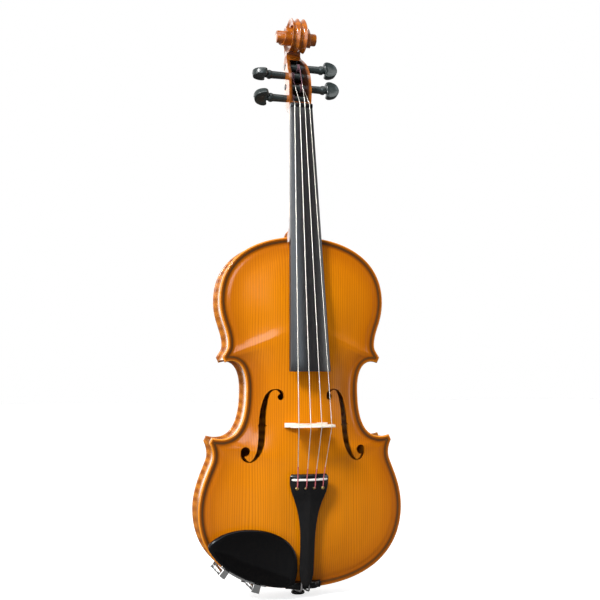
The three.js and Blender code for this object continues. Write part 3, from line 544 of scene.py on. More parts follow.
def lathe(name, profile, axis, centre, sides=64):
    """Profile of (radius, place) points turned about an axis letter through a centre."""
    profile = np.asarray(profile, float)
    angle = np.arange(sides) / sides * math.tau
    along = np.repeat(profile[:, 1:2], sides, 1)
    u = profile[:, :1] * np.cos(angle)
    v = profile[:, :1] * np.sin(angle)
    order = {"x": (along, u, v), "y": (u, along, v), "z": (u, v, along)}[axis]
    return loft(name, np.stack(order, -1) + np.asarray(centre, float))


def smooth_curve(values, count):
    """Smooth curve through rows of given values: cubic pieces over the chord length, whose slope
    at each row comes from its two neighbours."""
    values = np.asarray(values, float)
    chords = np.linalg.norm(np.diff(values, axis=0), axis=1)
    place_of = np.concatenate([[0], np.cumsum(chords)])
    slopes = np.gradient(values, place_of, axis=0)
    t = np.linspace(0, place_of[-1], count)
    i = np.clip(np.searchsorted(place_of, t, "right") - 1, 0, len(chords) - 1)
    span = chords[i][:, None]
    f = (t - place_of[i])[:, None] / span
    near, far = values[i], values[i + 1]
    leave, arrive = slopes[i] * span, slopes[i + 1] * span
    return (near * (1 + 2 * f) * (1 - f) ** 2 + leave * f * (1 - f) ** 2
            + far * f**2 * (3 - 2 * f) + arrive * f**2 * (f - 1))


def closed_curve(values, count):
    """Closed Catmull-Rom curve through rows of given values."""
    values = np.asarray(values, float)
    t = np.arange(count) / count * len(values)
    i = t.astype(int)
    f = (t - i)[:, None]
    a, b, c, d = (values[(i + k) % len(values)] for k in (-1, 0, 1, 2))
    return 0.5 * (2 * b + (c - a) * f + (2 * a - 5 * b + 4 * c - d) * f**2 + (3 * b - a - 3 * c + d) * f**3)


def tube(name, path, radius, sides=12):
    """Round bar: a circle carried along the path, square to it. The radius may change along it."""
    path = np.asarray(path, float)
    along = np.gradient(path, axis=0)
    along /= np.linalg.norm(along, axis=1, keepdims=True)
    flat = np.abs(along[:, :1]) > 0.8
    reference = np.where(flat, np.array([[0.0, 1.0, 0.0]]), np.array([[1.0, 0.0, 0.0]]))
    across = np.cross(reference, along)
    across /= np.linalg.norm(across, axis=1, keepdims=True)
    up = np.cross(along, across)
    angle = np.arange(sides) / sides * math.tau
    size = np.broadcast_to(np.asarray(radius, float), len(path))[:, None, None]
    spokes = across[:, None] * np.cos(angle)[None, :, None] + up[:, None] * np.sin(angle)[None, :, None]
    return loft(name, path[:, None] + spokes * size)


def applied(piece):
    """Bakes the piece's modifiers into its mesh."""
    graph = bpy.context.evaluated_depsgraph_get()
    mesh = bpy.data.meshes.new_from_object(piece.evaluated_get(graph))
    piece.modifiers.clear()
    old = piece.data
    piece.data = mesh
    bpy.data.meshes.remove(old)
    return piece


def combined(piece, operation, *tools):
    """Takes the tools' shapes out of the piece, or adds them to it, and removes the tools."""
    for tool in tools:
        modifier = piece.modifiers.new("combined", "BOOLEAN")
        modifier.operation = operation
        modifier.solver = "MANIFOLD"
        modifier.object = tool
    applied(piece)
    for tool in tools:
        bpy.data.objects.remove(tool)


def bevelled(piece, width, segments=3, angle=40):
    """Rounds every edge sharper than the angle, by a width in millimetres."""
    modifier = piece.modifiers.new("eased_edges", "BEVEL")
    modifier.width = width * MM
    modifier.segments = segments
    modifier.limit_method = "ANGLE"
    modifier.angle_limit = math.radians(angle)
    return applied(piece)


def finished(piece, material, slot, body, *nodes, angle=35):
    """Smooth shading with its real edges kept sharp, the finish, and the piece's place in the frame."""
    mesh = piece.data
    mesh.materials.clear()
    mesh.materials.append(material)
    mesh.shade_smooth()
    mesh.set_sharp_from_angle(angle=math.radians(angle))
    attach(piece, body)
    if nodes:
        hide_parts(*nodes)


def body_points(piece):
    """The piece's vertices in body coordinates, in millimetres."""
    flat = np.empty(len(piece.data.vertices) * 3, np.float32)
    piece.data.vertices.foreach_get("co", flat)
    return flat.reshape(-1, 3).astype(float) / MM - (0, 0, BODY_LIFT)


def set_attribute(piece, name, values):
    """Gives the piece a number at each of its points, for its material to read."""
    data = piece.data.attributes.new(name, "FLOAT", "POINT")
    data.data.foreach_set("value", np.asarray(values, np.float32))


# ---- Body outline and arching ----

# Right half of the outline from top to bottom: each stretch's Bezier points, its steps, and its two ends'
# places on the centre line.
STRETCHES = {
    "shoulder": ([(0, 356), (46, 356), (87.4, 336), (87.4, 290)], 48, (322, 288)),
    "upper_side": ([(87.4, 290), (87.4, 268), (77.5, 259), (78.2, 243)], 24, (288, 272)),
    "upper_corner": ([(78.2, 243), (78.5, 239), (81.5, 236), (83.9, 231.6)], 14, (272, 264)),
    "upper_tip": ([(83.9, 231.6), (83, 230), (82.2, 228), (81.2, 226)], 6, (264, 261)),
    "waist_upper": ([(81.2, 226), (71, 230), (59.2, 226), (59.2, 199)], 36, (261, 200)),
    "waist_lower": ([(59.2, 199), (59.2, 166), (67.5, 144), (94, 151.6)], 44, (200, 122)),
    "lower_tip": ([(94, 151.6), (94.8, 150), (95.6, 148), (96.3, 146.2)], 6, (122, 119)),
    "lower_corner": ([(96.3, 146.2), (92, 137.5), (92.6, 131), (94.8, 125.5)], 16, (119, 110)),
    "lower_side": ([(94.8, 125.5), (99.5, 113.5), (107.1, 98), (107.1, 78.6)], 26, (110, 82)),
    "bottom": ([(107.1, 78.6), (107.1, 34), (74, 0), (0, 0)], 62, (82, 34)),
}


def bezier(points, t):
    """Cubic Bezier point and unit tangent at each t."""
    a, b, c, d = np.asarray(points, float)
    t = np.asarray(t, float)[:, None]
    point = (1 - t) ** 3 * a + 3 * (1 - t) ** 2 * t * b + 3 * (1 - t) * t**2 * c + t**3 * d
    slope = (1 - t) ** 2 * (b - a) + 2 * (1 - t) * t * (c - b) + t**2 * (d - c)
    return point, slope / np.linalg.norm(slope, axis=1, keepdims=True)


def half_outline(names=tuple(STRETCHES)):
    """Points, inward normals and centre-line places along the named stretches of the right half."""
    points, inward, spine = [], [], []
    for number, name in enumerate(names):
        curve, steps, ends = STRETCHES[name]
        t = np.linspace(0, 1, steps + 1)[(1 if number else 0):]
        point, tangent = bezier(curve, t)
        points.append(point)
        inward.append(np.stack([tangent[:, 1], -tangent[:, 0]], 1))
        spine.append(ends[0] + (ends[1] - ends[0]) * t)
    return np.vstack(points), np.vstack(inward), np.concatenate(spine)


def sharp_corners(inward):
    """Indices where the outline turns by more than about 37 degrees from one point to the next."""
    return np.where((inward[1:] * inward[:-1]).sum(1) < 0.8)[0]


CROWDED = 1.9  # distance from a sharp corner, in millimetres


def uncrowded_outline():
    """The half outline without the points next to its sharp corners, where moving it inwards would
    fold it."""
    points, inward, spine = half_outline()
    corners = sharp_corners(inward)
    away = np.linalg.norm(points[:, None] - points[corners], axis=-1).min(1)
    keep = away > CROWDED
    keep[corners] = True
    return points[keep], inward[keep], spine[keep]


OUTLINE, INWARD, SPINE = uncrowded_outline()
SPAN = np.hypot(OUTLINE[:, 0], OUTLINE[:, 1] - SPINE)


def averaged(values, reach):
    """Moving average along the last axis that keeps its length, with the ends mirrored."""
    around = [(0, 0)] * (np.ndim(values) - 1) + [(reach, reach)]
    padded = np.pad(values, around, "reflect")
    return np.lib.stride_tricks.sliding_window_view(padded, 2 * reach + 1, axis=-1).mean(-1)


def even_reach(spread=20.0):
    """How far the arching reaches from each place on the centre line: the outline's distance, averaged by a
    bell curve over the length of the body, so that the short corners hardly count and lie flat."""
    spacing = np.abs(np.gradient(SPINE))
    weight = np.exp(-(((SPINE[:, None] - SPINE) / spread) ** 2)) * spacing
    return np.minimum(weight @ SPAN / weight.sum(1), SPAN) - 2


REACH = even_reach()


def rise(spine, share):
    """Arching above the edge: a cubic fall towards the ends times a half cosine across the body."""
    along = np.abs((spine - BODY_LENGTH / 2) / (BODY_LENGTH / 2))
    across = np.clip(share, 0, 1) ** 1.25
    return (1 - along**3) * (0.5 + 0.5 * np.cos(np.pi * across))


def arching(share):
    """Rise at a share of the way from the centre line to each outline point, evened out between
    neighbours."""
    return averaged(rise(SPINE, share * SPAN / REACH), 26)


def outline_distance(x, z):
    """Shortest distance from each point to the body's outline, in millimetres."""
    a, b = OUTLINE[:-1], OUTLINE[1:]
    run = b - a
    length = (run**2).sum(1)
    spots = np.stack([np.abs(x).ravel(), z.ravel()], 1)
    best = np.empty(len(spots))
    for start in range(0, len(spots), 20000):
        part = spots[start:start + 20000, None]
        t = np.clip(((part - a) * run).sum(-1) / length, 0, 1)
        best[start:start + 20000] = np.linalg.norm(part - a - t[..., None] * run, axis=-1).min(1)
    return best.reshape(np.shape(x))


def channel(distance):
    """Shallow hollow beside the edge, deepest 7 mm in."""
    return -0.85 * np.exp(-((distance - 7.0) / 3.0) ** 2)


def whole_ring(half):
    """Right half from top to bottom, then its mirror image from bottom to top, without doubled ends."""
    left = half[1:-1][::-1].copy()
    left[..., 0] *= -1
    return np.concatenate([half, left])


def corner_normals():
    """Inward normals with the turn at each corner's sharp points shared, so that small offsets don't
    cross."""
    normals = INWARD.copy()
    for index in sharp_corners(INWARD):
        shared = INWARD[index] + INWARD[index + 1]
        shared /= (shared * INWARD[index]).sum()
        normals[index] = shared
    return normals


MITRED = corner_normals()
EDGE_ROUND = 1.6  # radius of the plates' rounded edge


def arched_plate(name, side, arch):
    """Plate of a violin: lines run from the centre line to the outline, close together near the edge. Along
    each line the outer face follows the arching and the channel, turns round the edge, and comes back as
    the inner face."""
    base = OUTLINE + MITRED * EDGE_ROUND
    shares = np.concatenate([np.linspace(0, 0.86, 20), np.linspace(0.87, 1, 26)])

    def row(share, drop):
        """Places along one line of equal share, and their height above the ribs."""
        x = share * base[:, 0]
        z = SPINE + share * (base[:, 1] - SPINE)
        height = EDGE + arch * arching(share) - drop
        return x, height, z

    rows = []
    for share in shares:
        x, height, z = row(share, 0)
        height = height + channel(outline_distance(x, z))
        rows.append(np.stack([x, side * (RIB_HALF + height), z], 1))
    for degrees in (22, 45, 67, 90):
        angle = math.radians(degrees)
        edge = OUTLINE + MITRED * EDGE_ROUND * (1 - math.sin(angle))
        level = side * (RIB_HALF + height - EDGE_ROUND * (1 - math.cos(angle)))
        rows.append(np.stack([edge[:, 0], level, edge[:, 1]], 1))
    for inset, level in ((0.0, 0.8), (0.25, 0.25), (0.8, 0.0)):
        edge = OUTLINE + MITRED * inset
        rows.append(np.stack([edge[:, 0], np.full(len(edge), side * (RIB_HALF + level)), edge[:, 1]], 1))
    for share in (0.96, 0.93, 0.9, 0.8, 0.65, 0.5, 0.35, 0.2, 0.0):
        x, height, z = row(share, PLATE)
        level = 0 * x if share > 0.91 else height
        rows.append(np.stack([x, side * (RIB_HALF + level), z], 1))
    grid = np.stack([whole_ring(line) for line in rows])
    return new_object(name, grid.reshape(-1, 3), ring_faces(*grid.shape[:2], caps=False))


def strip(name, corners):
    """Closed strip with a four-point section: each corner is a line of x and z points at its own y."""
    lines = [np.stack([line[:, 0], np.full(len(line), y), line[:, 1]], 1) for line, y in corners]
    return loft(name, np.stack(lines, 1))


def block(name, low, high):
    """Cutting tool: a box between two corners."""
    (x0, y0, z0), (x1, y1, z1) = low, high
    points = [(x, y, z) for z in (z0, z1) for y in (y0, y1) for x in (x0, x1)]
    faces = [(0, 2, 3, 1), (4, 5, 7, 6), (0, 1, 5, 4), (2, 6, 7, 3), (0, 4, 6, 2), (1, 3, 7, 5)]
    return new_object(name, points, faces)


# Middle line of the right-hand sound hole with its full width at each point: x, z, width.
SOUND_HOLE = [
    (24.3, 191.8, 3.6), (24.6, 195.0, 3.4), (27.2, 197.9, 2.3), (30.9, 199.0, 1.0), (35.0, 197.4, 2.2),
    (38.4, 192.6, 4.2), (41.0, 184.0, 5.6), (42.6, 175.0, 6.5), (43.5, 164.0, 6.9), (44.3, 151.0, 6.8),
    (45.8, 141.6, 6.2), (48.6, 134.0, 4.7), (52.4, 128.9, 2.7), (56.6, 126.9, 1.0), (60.6, 128.4, 2.4),
    (63.4, 132.4, 3.6), (63.3, 137.0, 4.4)]
SOUND_HOLE_EYES = [(25.5, 191.5, 3.2), (60.8, 137.2, 4.7)]
NICK_Z = 163.0


def sound_hole_tools(side):
    """Channel swept along the hole's middle line, its two round eyes and its two pointed nicks."""
    curve = smooth_curve(SOUND_HOLE, 120)
    line, half = curve[:, :2], curve[:, 2:] / 2
    slope = np.gradient(line, axis=0)
    slope /= np.linalg.norm(slope, axis=1, keepdims=True)
    across = np.stack([-slope[:, 1], slope[:, 0]], 1)
    left, right = line + across * half, line - across * half
    depths = np.array([-42.0, -10.0])
    ring = np.stack([left, right], 1)
    section = np.empty((len(line), 4, 3))
    for k, (edge, depth) in enumerate(((0, 0), (1, 0), (1, 1), (0, 1))):
        section[:, k, 0] = side * ring[:, edge, 0]
        section[:, k, 1] = depths[depth]
        section[:, k, 2] = ring[:, edge, 1]
    tools = [loft("hole_channel", section)]
    for x, z, radius in SOUND_HOLE_EYES:
        rim = [(AXIS, -42), (radius, -42), (radius, -10), (AXIS, -10)]
        tools.append(lathe("hole_eye", rim, "y", (side * x, 0, z), 48))
    nick = int(np.abs(line[40:80, 1] - NICK_Z).argmin()) + 40
    x, z = line[nick]
    diamond = np.array([(4.75, 0), (0, 3.9), (-4.75, 0), (0, -3.9)])
    tools.append(loft("hole_nick", [
        np.stack([side * x + diamond[:, 0], np.full(4, depth), z + diamond[:, 1]], 1) for depth in depths]))
    return tools


def top_plate(material):
    """Arched plate with its sound holes and the notches for the neck and saddle. Its attributes hold the
    distance from the outline, over 60 mm for the shading and over 8 mm for the purfling."""
    piece = arched_plate("top_plate_fine", -1, TOP_ARCH)
    combined(
        piece, "DIFFERENCE", *sound_hole_tools(1), *sound_hole_tools(-1),
        block("neck_mortise", (-16.8, -60, 348.7), (16.8, -5, 380)),
        block("saddle_notch", (-18.3, -60, -5), (18.3, -14, 7.3)))
    spots = body_points(piece)
    away = outline_distance(spots[:, 0], spots[:, 2])
    set_attribute(piece, "rim", np.clip(away / 60, 0, 1))
    set_attribute(piece, "edge", np.clip(away / 8, 0, 1))
    finished(piece, material, "spruce_varnish", "violin", "top_plate", angle=50)


def back_plate(material):
    """Arched plate joined to the round button that the neck's heel is glued to."""
    piece = arched_plate("back_plate_fine", 1, BACK_ARCH)
    rim = [(AXIS, 15), (10.6, 15), (11, 15.5), (11, 17.6), (10.6, 18.5), (9.6, 19), (AXIS, 19)]
    button = lathe("back_button", rim, "y", (0, 0, 358), 96)
    combined(piece, "UNION", button)
    finished(piece, material, "maple_varnish", "violin", "back_plate", angle=50)


MATERIALS = {
    "spruce": spruce_varnish(),
    "back": maple_varnish("maple_varnish", (0.55, 0.2, 0.02), (0.3, 0.085, 0.01), 105.0),
    "neck": maple_varnish("neck_varnish", (0.42, 0.115, 0.008), (0.27, 0.065, 0.005), 120.0, handled=True),
    "board": black_wood("board_black", 0.32, 0.12, 0.01),
    "fittings": black_wood("fittings_black", 0.24, 0.1, 0.004, 0.3),
    "chinrest": black_wood("chinrest_black", 0.16, 0.06, 0.002, 0.22),
    "pegs": peg_wood(),
    "bridge": plain_wood("bridge_maple", (0.92, 0.84, 0.74), (0.84, 0.73, 0.58), 0.5),
    "bare": plain_wood("bare_wood", (0.62, 0.44, 0.24), (0.45, 0.3, 0.15), 0.8),
    "fret": smooth("fret_white", (0.86, 0.83, 0.76), 0.3, 0.1, 0.05),
    "wire": wound_metal("string_wire", (0.82, 0.78, 0.7), 4200),
    "silk": silk_thread("red_silk", (0.68, 0.12, 0.13), (0.34, 0.03, 0.05)),
    "dark_silk": silk_thread("dark_silk", (0.16, 0.025, 0.05), (0.06, 0.01, 0.025)),
    "gut": smooth("gut_cord", (0.16, 0.15, 0.15), 0.35, 0.1, 0.05),
    "plate": smooth("bright_plate", (0.78, 0.78, 0.77), 0.16, 0.16, 0.04, metallic=1.0),
    "cork": cork_sheet(),
    "ribs": maple_varnish("rib_varnish", (0.52, 0.19, 0.03), (0.38, 0.12, 0.016), 105.0),
    "brass": smooth("ball_brass", (0.78, 0.55, 0.2), 0.3, 0.14, metallic=1.0),
}

# ---- Ribs ----

BOUTS = {
    "upper": ("shoulder", "upper_side", "upper_corner"),
    "waist": ("waist_upper", "waist_lower"),
    "lower": ("lower_corner", "lower_side", "bottom"),
}
FOOT_HALF = 16.5


def first_crossing(first, second):
    """Indices and point where two lines of points cross, from the pair of short pieces that meet."""
    a, b = first[:-1, None], first[1:, None]
    c, d = second[None, :-1], second[None, 1:]
    run, other, between = b - a, d - c, c - a
    area = run[..., 0] * other[..., 1] - run[..., 1] * other[..., 0]
    area = np.where(np.abs(area) < 1e-12, 1e-12, area)
    s = (between[..., 0] * other[..., 1] - between[..., 1] * other[..., 0]) / area
    t = (between[..., 0] * run[..., 1] - between[..., 1] * run[..., 0]) / area
    hits = np.argwhere((s >= 0) & (s <= 1) & (t >= 0) & (t <= 1))
    i, j = hits[-1]
    return i, j, first[i] + s[i, j] * (first[i + 1] - first[i])


def garland(distance):
    """Outline moved inwards by a distance, as three runs that end where they cross."""
    runs = []
    for names in BOUTS.values():
        points, inward, _ = half_outline(names)
        line = points + inward * distance
        before, after = 2 * line[0] - line[1], 2 * line[-1] - line[-2]
        lead = 6 / np.linalg.norm(line[1] - line[0]) if names[0] != "shoulder" else 0
        trail = 6 / np.linalg.norm(line[-1] - line[-2]) if names[-1] != "bottom" else 0
        before = line[0] + (before - line[0]) * lead
        after = line[-1] + (after - line[-1]) * trail
        runs.append(np.vstack([before, line[1:-1], after]))
    for k in (0, 1):
        i, j, meeting = first_crossing(runs[k], runs[k + 1])
        runs[k] = np.vstack([runs[k][:i + 1], meeting])
        runs[k + 1] = np.vstack([meeting, runs[k + 1][j + 1:]])
    return dict(zip(BOUTS, runs))


def resampled(line, count, skip_start=0.0, skip_end=0.0):
    """Points evenly spaced along a line, leaving out a length at each end."""
    steps = np.linalg.norm(np.diff(line, axis=0), axis=1)
    place_of = np.concatenate([[0], np.cumsum(steps)])
    wanted = np.linspace(skip_start, place_of[-1] - skip_end, count)
    return np.stack([np.interp(wanted, place_of, line[:, k]) for k in range(line.shape[1])], 1)


def ribs(material):
    """Each rib is a strip bent along the outline, with a four-point section carried along it."""
    outside, inside = garland(OVERHANG), garland(OVERHANG + RIB)
    half = RIB_HALF - HAIR
    for side_name, side in SIDES.items():
        for bout in BOUTS:
            skip = (FOOT_HALF + 0.6, HAIR) if bout == "upper" else (HAIR, HAIR)
            outer = resampled(outside[bout], 120, *skip) * (side, 1)
            inner = resampled(inside[bout], 120, *skip) * (side, 1)
            corners = [(outer, -half), (outer, half), (inner, half), (inner, -half)]
            piece = strip(f"{bout}_rib_{side_name}_fine", corners)
            finished(piece, material, "maple_varnish", "violin", f"{bout}_rib_{side_name}")


# ---- Neck, pegbox and scroll ----

EYE_Y, EYE_Z = 8.4, 576.5
HEEL_BACK = RIB_HALF - GAP


def board_edge(z):
    """y of the fingerboard's playing edge: a straight line that falls forwards from the nut."""
    return BOARD_EDGE_AT_NUT - BOARD_SLOPE * (NUT_Z - z)


def glue_face(z):
    """y of the face where the fingerboard meets the neck."""
    return board_edge(z) + BOARD_SIDE


def crown(x):
    """How far a circle of the playing radius falls away at x from its highest point."""
    return CROWN_RADIUS - np.sqrt(CROWN_RADIUS**2 - np.square(x))


# Front y and z, back y and z, half width, taper and squareness of each section.
NECK_SECTIONS = [
    (glue_face(349), 349, HEEL_BACK, 349, 16.5, 0.35, 0.45),
    (glue_face(358), 358, HEEL_BACK, 358, 16.4, 0.38, 0.45),
    (glue_face(364), 364, HEEL_BACK, 365.5, 16.2, 0.5, 0.5),
    (glue_face(367), 367, 14, 369, 16.1, 0.6, 0.6), (glue_face(370), 370, 6, 371.5, 15.9, 0.4, 0.7),
    (glue_face(374), 374, -2, 375, 15.7, 0.15, 0.8), (glue_face(381), 381, -7.6, 381, 15.4, 0, 0.85),
    (glue_face(392), 392, -9, 392, 15, 0, 0.9), (glue_face(440), 440, -3.6, 440, 13.4, 0, 0.9),
    (glue_face(482), 482, 2.2, 482, 12, 0, 0.9), (glue_face(494), 494, 5.5, 490.5, 11.9, 0, 0.75),
    (-8.9, 500.5, 10.5, 495, 12.2, 0, 0.4), (-9.6, 508, 13.5, 503.5, 12.4, 0, 0.3),
    (-9, 520, 17.5, 517, 12.3, 0, 0.3), (-6.4, 532, 21, 530, 12, 0, 0.3),
    (-1.5, 539, 23.6, 539, 11.8, 0, 0.3), (3, 546, 26, 548, 11.2, 0, 0.3),
    (11, 553, 28, 556, 9.4, 0, 0.3), (18, 559, 28.4, 564, 8, 0, 0.3), (16, 566, 26.2, 573, 7.4, 0, 0.3)]
CAVITY_SECTIONS = [
    (-16, 502, 7.6, 501.2, 8, 0, 0.3), (-14, 509, 10, 505.4, 8.6, 0, 0.3),
    (-13.5, 522.5, 12.8, 519.5, 8.8, 0, 0.3), (-10, 536, 16.4, 535.2, 8.2, 0, 0.3),
    (-4, 546.5, 18.8, 547, 7.4, 0, 0.3), (5, 553.4, 20.5, 552.5, 6, 0, 0.3)]


def neck_rings(sections, stations, points=49):
    """U-shaped sections between a front and a back point: powers of the sine and cosine of the angle round
    the section, so that a small squareness is nearly a box and a large one half an ellipse."""
    rows = smooth_curve(sections, stations)
    front_y, front_z, back_y, back_z, half, taper, squareness = (rows[:, k:k + 1] for k in range(7))
    angle = np.linspace(0, np.pi, points)[None]
    depth = np.clip(np.sin(angle), 0, 1) ** squareness
    spread = np.sign(np.cos(angle)) * np.abs(np.cos(angle)) ** squareness
    x = spread * half * (1 - taper * depth)
    return np.stack([x, front_y + (back_y - front_y) * depth, front_z + (back_z - front_z) * depth], -1)


# Spiral of the scroll: turn in degrees, radius from the eye and half width.
SPIRAL = [
    (-48, 24, 7.8), (-20, 22.2, 7.4), (30, 21.6, 7.1), (90, 21.2, 7.0), (150, 19.6, 7.8),
    (180, 18.7, 8.4), (210, 17.9, 8.5), (270, 16.2, 8.9), (330, 14.4, 10.2), (400, 13, 11.4),
    (470, 11.8, 12.6), (540, 10.6, 14), (620, 9.3, 16), (700, 8.2, 18.5), (760, 7.2, 20.8)]
EYE_RADIUS = 6.6
EYE_HALF = 22.2


def volute():
    """Band wound in a spiral towards the eye and widening as it goes. Its outer face has two flutes between
    three ridges, and each side sinks in a hollow to the foot of the next turn."""
    rows = smooth_curve(SPIRAL, 260)
    angle = np.radians(rows[:, 0])[:, None]
    radius, half = rows[:, 1:2], rows[:, 2:3]
    across = np.linspace(-1, 1, 33)[None]
    flute = 2.7 * np.sin(np.pi * np.abs(across)) ** 1.3
    fade = np.clip((radius - 8) / 10, 0, 1)
    face_reach = radius - flute * fade
    face_x = (half - 0.5) * across
    steps = np.array([0.5, 1.4, 3.0, 5.0, 7.2])[None]
    hollow = np.array([0.0, 0.25, 1.5, 2.3, 2.0])[None]
    side_reach = np.maximum(radius - steps, 0.6)
    side_x = np.maximum(half - hollow, 1.0)
    reach = np.hstack([face_reach, side_reach, side_reach[:, ::-1]])
    x = np.hstack([face_x, side_x, -side_x[:, ::-1]])
    y = EYE_Y + reach * np.cos(angle)
    z = EYE_Z + reach * np.sin(angle)
    return loft("volute", np.stack([x, y, z], -1))


def joined(name, *pieces):
    """Several closed shapes as one piece."""
    whole = bmesh.new()
    for piece in pieces:
        whole.from_mesh(piece.data)
        bpy.data.objects.remove(piece)
    mesh = bpy.data.meshes.new(name)
    whole.to_mesh(mesh)
    whole.free()
    result = bpy.data.objects.new(name, mesh)
    bpy.context.scene.collection.objects.link(result)
    return result


def rod(name, axis, centre, start, end, radius, sides=48):
    """Cutting tool: a plain round bar between two places along its axis."""
    return lathe(name, [(AXIS, start), (radius, start), (radius, end), (AXIS, end)], axis, centre, sides)


# Pegs from the nut up: where each crosses the pegbox, the side its head is on, its turn in degrees, its
# coil's place, the string's radius, the length of its tip, and where the silk on its string starts.
PEG_FACTS = ("y", "z", "side", "turn", "coil", "wire", "tip", "sleeve")
PEGS = {
    name: dict(zip(PEG_FACTS, values)) for name, values in (
        ("g", (3.4, 507.5, -1, 35, -5, 0.42, 13, 504.5)),
        ("e", (6.6, 521, 1, 80, 4.6, 0.3, 12.9, 515.0)),
        ("d", (9.8, 534.5, -1, 8, -3.6, 0.4, 12.5, 521.0)),
        ("a", (12.6, 545, 1, 76, 3, 0.35, 11.9, 522.0)))
}
PEG_HEAD_END = 47
PEG_HEAD_LENGTH = 14.4


def peg_radius(along):
    """Taper of a peg's shaft, from its radius at the middle of the pegbox."""
    return 3.6 + along / 60


def pegbox_inside(spots):
    """1 on the walls and floor of the pegbox's hollow, where shade is painted near black, 0 elsewhere."""
    rows = np.array(CAVITY_SECTIONS)
    floor_y = np.interp(spots[:, 2], rows[:, 3], rows[:, 2]) + 0.8
    wall_x = np.interp(spots[:, 2], rows[:, 3], rows[:, 4]) + 0.4
    along = (spots[:, 2] > 500.5) & (spots[:, 2] < 556)
    return (along & (spots[:, 1] < floor_y) & (np.abs(spots[:, 0]) < wall_x)).astype(float)


def neck_and_scroll(material):
    """Neck and pegbox through their sections, hollowed and drilled for the pegs, with the scroll's band and
    its turned eye."""
    neck = loft("neck_blank", neck_rings(NECK_SECTIONS, 150))
    cavity = loft("pegbox_cavity", neck_rings(CAVITY_SECTIONS, 40))
    bore = peg_radius(0) + 0.15
    holes = [rod("peg_hole", "x", (0, facts["y"], facts["z"]), -20, 20, bore) for facts in PEGS.values()]
    combined(neck, "DIFFERENCE", cavity, *holes)
    eye_profile = [
        (AXIS, -EYE_HALF), (EYE_RADIUS - 1.6, -EYE_HALF), (EYE_RADIUS - 0.5, -EYE_HALF + 0.4),
        (EYE_RADIUS, -EYE_HALF + 1.4), (EYE_RADIUS, EYE_HALF - 1.4), (EYE_RADIUS - 0.5, EYE_HALF - 0.4),
        (EYE_RADIUS - 1.6, EYE_HALF), (AXIS, EYE_HALF)]
    eye = lathe("scroll_eye", eye_profile, "x", (0, EYE_Y, EYE_Z))
    piece = joined("neck_and_scroll_fine", neck, volute(), eye)
    spots = body_points(piece)
    handled = np.clip((spots[:, 2] - 372) / 6, 0, 1) * np.clip((492 - spots[:, 2]) / 5, 0, 1)
    set_attribute(piece, "bare", handled)
    set_attribute(piece, "pegbox_painted_shade", pegbox_inside(spots))
    finished(piece, material, "maple_varnish", "violin", "neck_and_scroll", angle=38)


# ---- Pegs and coils ----

HEAD_OUTLINE = [
    (-3.4, 1.2), (-7.2, 0.2), (-9.3, 2.6), (-8.9, 7.4), (-6, 12.6), (0, 15), (6, 12.6), (8.9, 7.4),
    (9.3, 2.6), (7.2, 0.2), (3.4, 1.2)]
HEAD_RINGS = [
    (0.02, -2.5), (0.35, -2.45), (0.62, -2.7), (0.8, -3.3), (0.9, -3.5), (0.96, -3.3), (0.99, -2.6),
    (1, -1.4)]


def peg_head():
    """Heart outline scaled towards its middle at each depth, dished on both faces. Points are
    across, along and deep."""
    outline = closed_curve(HEAD_OUTLINE, 72)
    middle = np.array([0, 6.6])
    rings = HEAD_RINGS + [(scale, -depth) for scale, depth in HEAD_RINGS[::-1]]
    scales, depths = np.array(rings).T
    flat = middle + (outline[None] - middle) * scales[:, None, None]
    along = flat[..., 1] + PEG_HEAD_END - PEG_HEAD_LENGTH
    return flat[..., 0], along, np.broadcast_to(depths[:, None], flat.shape[:2])


def peg(name, facts, material):
    """Turned shaft and collar, heart-shaped head turned about the peg's axis, and the pin at its end. The
    dye is worn from the wood beside the pegbox, and a painted reflection of the orange pegbox wall lies
    there too, stronger on the bass side."""
    side, tip = facts["side"], facts["tip"]
    centre = (0, facts["y"], facts["z"])
    profile = [
        (AXIS, -tip), (peg_radius(-tip) - 0.8, -tip), (peg_radius(-tip), -tip + 0.8),
        (peg_radius(9), 9), (peg_radius(20), 20), (peg_radius(26.5), 26.5), (4.2, 27.2), (4.75, 28.3),
        (4.9, 29.6), (4.75, 30.9), (4.2, 31.6), (3.7, 32.2), (3.5, 33.4), (3.9, 34.6), (AXIS, 35.2)]
    shaft = lathe("peg_shaft", [(radius, side * along) for radius, along in profile], "x", centre)
    across, along, depth = peg_head()
    turn = math.radians(facts["turn"])
    y = centre[1] - side * (across * math.cos(turn) + depth * math.sin(turn))
    z = centre[2] - across * math.sin(turn) + depth * math.cos(turn)
    head = loft("peg_head", np.stack([side * along, y, z], -1))
    pin_profile = [(AXIS, 46.4), (1.3, 46.6), (1.6, 47.2), (1.3, 47.8), (AXIS, 48.0)]
    pin = lathe("peg_pin", [(r, side * a) for r, a in pin_profile], "x", centre, 24)
    piece = joined(f"peg_{name}_fine", shaft, head, pin)
    spots = body_points(piece)
    reach = side * spots[:, 0]
    wear_and_reflection_band = np.clip((18.5 - reach) / 4, 0, 1) * np.clip(reach - 11, 0, 1)
    # Stronger on the bass side as a painted reflection of the pegbox wall; the rest is dye worn by turning.
    set_attribute(piece, "wear_and_reflection", wear_and_reflection_band * (1.0 if side < 0 else 0.35))
    finished(piece, material, "black_wood", f"{name}_peg", f"peg_{name}", angle=30)


COIL_WIDTH = 2.8


def coil_radius(facts):
    """Distance from the peg's axis to the middle of the string wound on it."""
    return peg_radius(facts["side"] * facts["coil"]) + facts["wire"]


def coil_start(facts):
    """Where the string reaches the peg: the front of the coil's first turn."""
    return facts["coil"] + facts["side"] * COIL_WIDTH / 2, facts["y"] - coil_radius(facts), facts["z"]


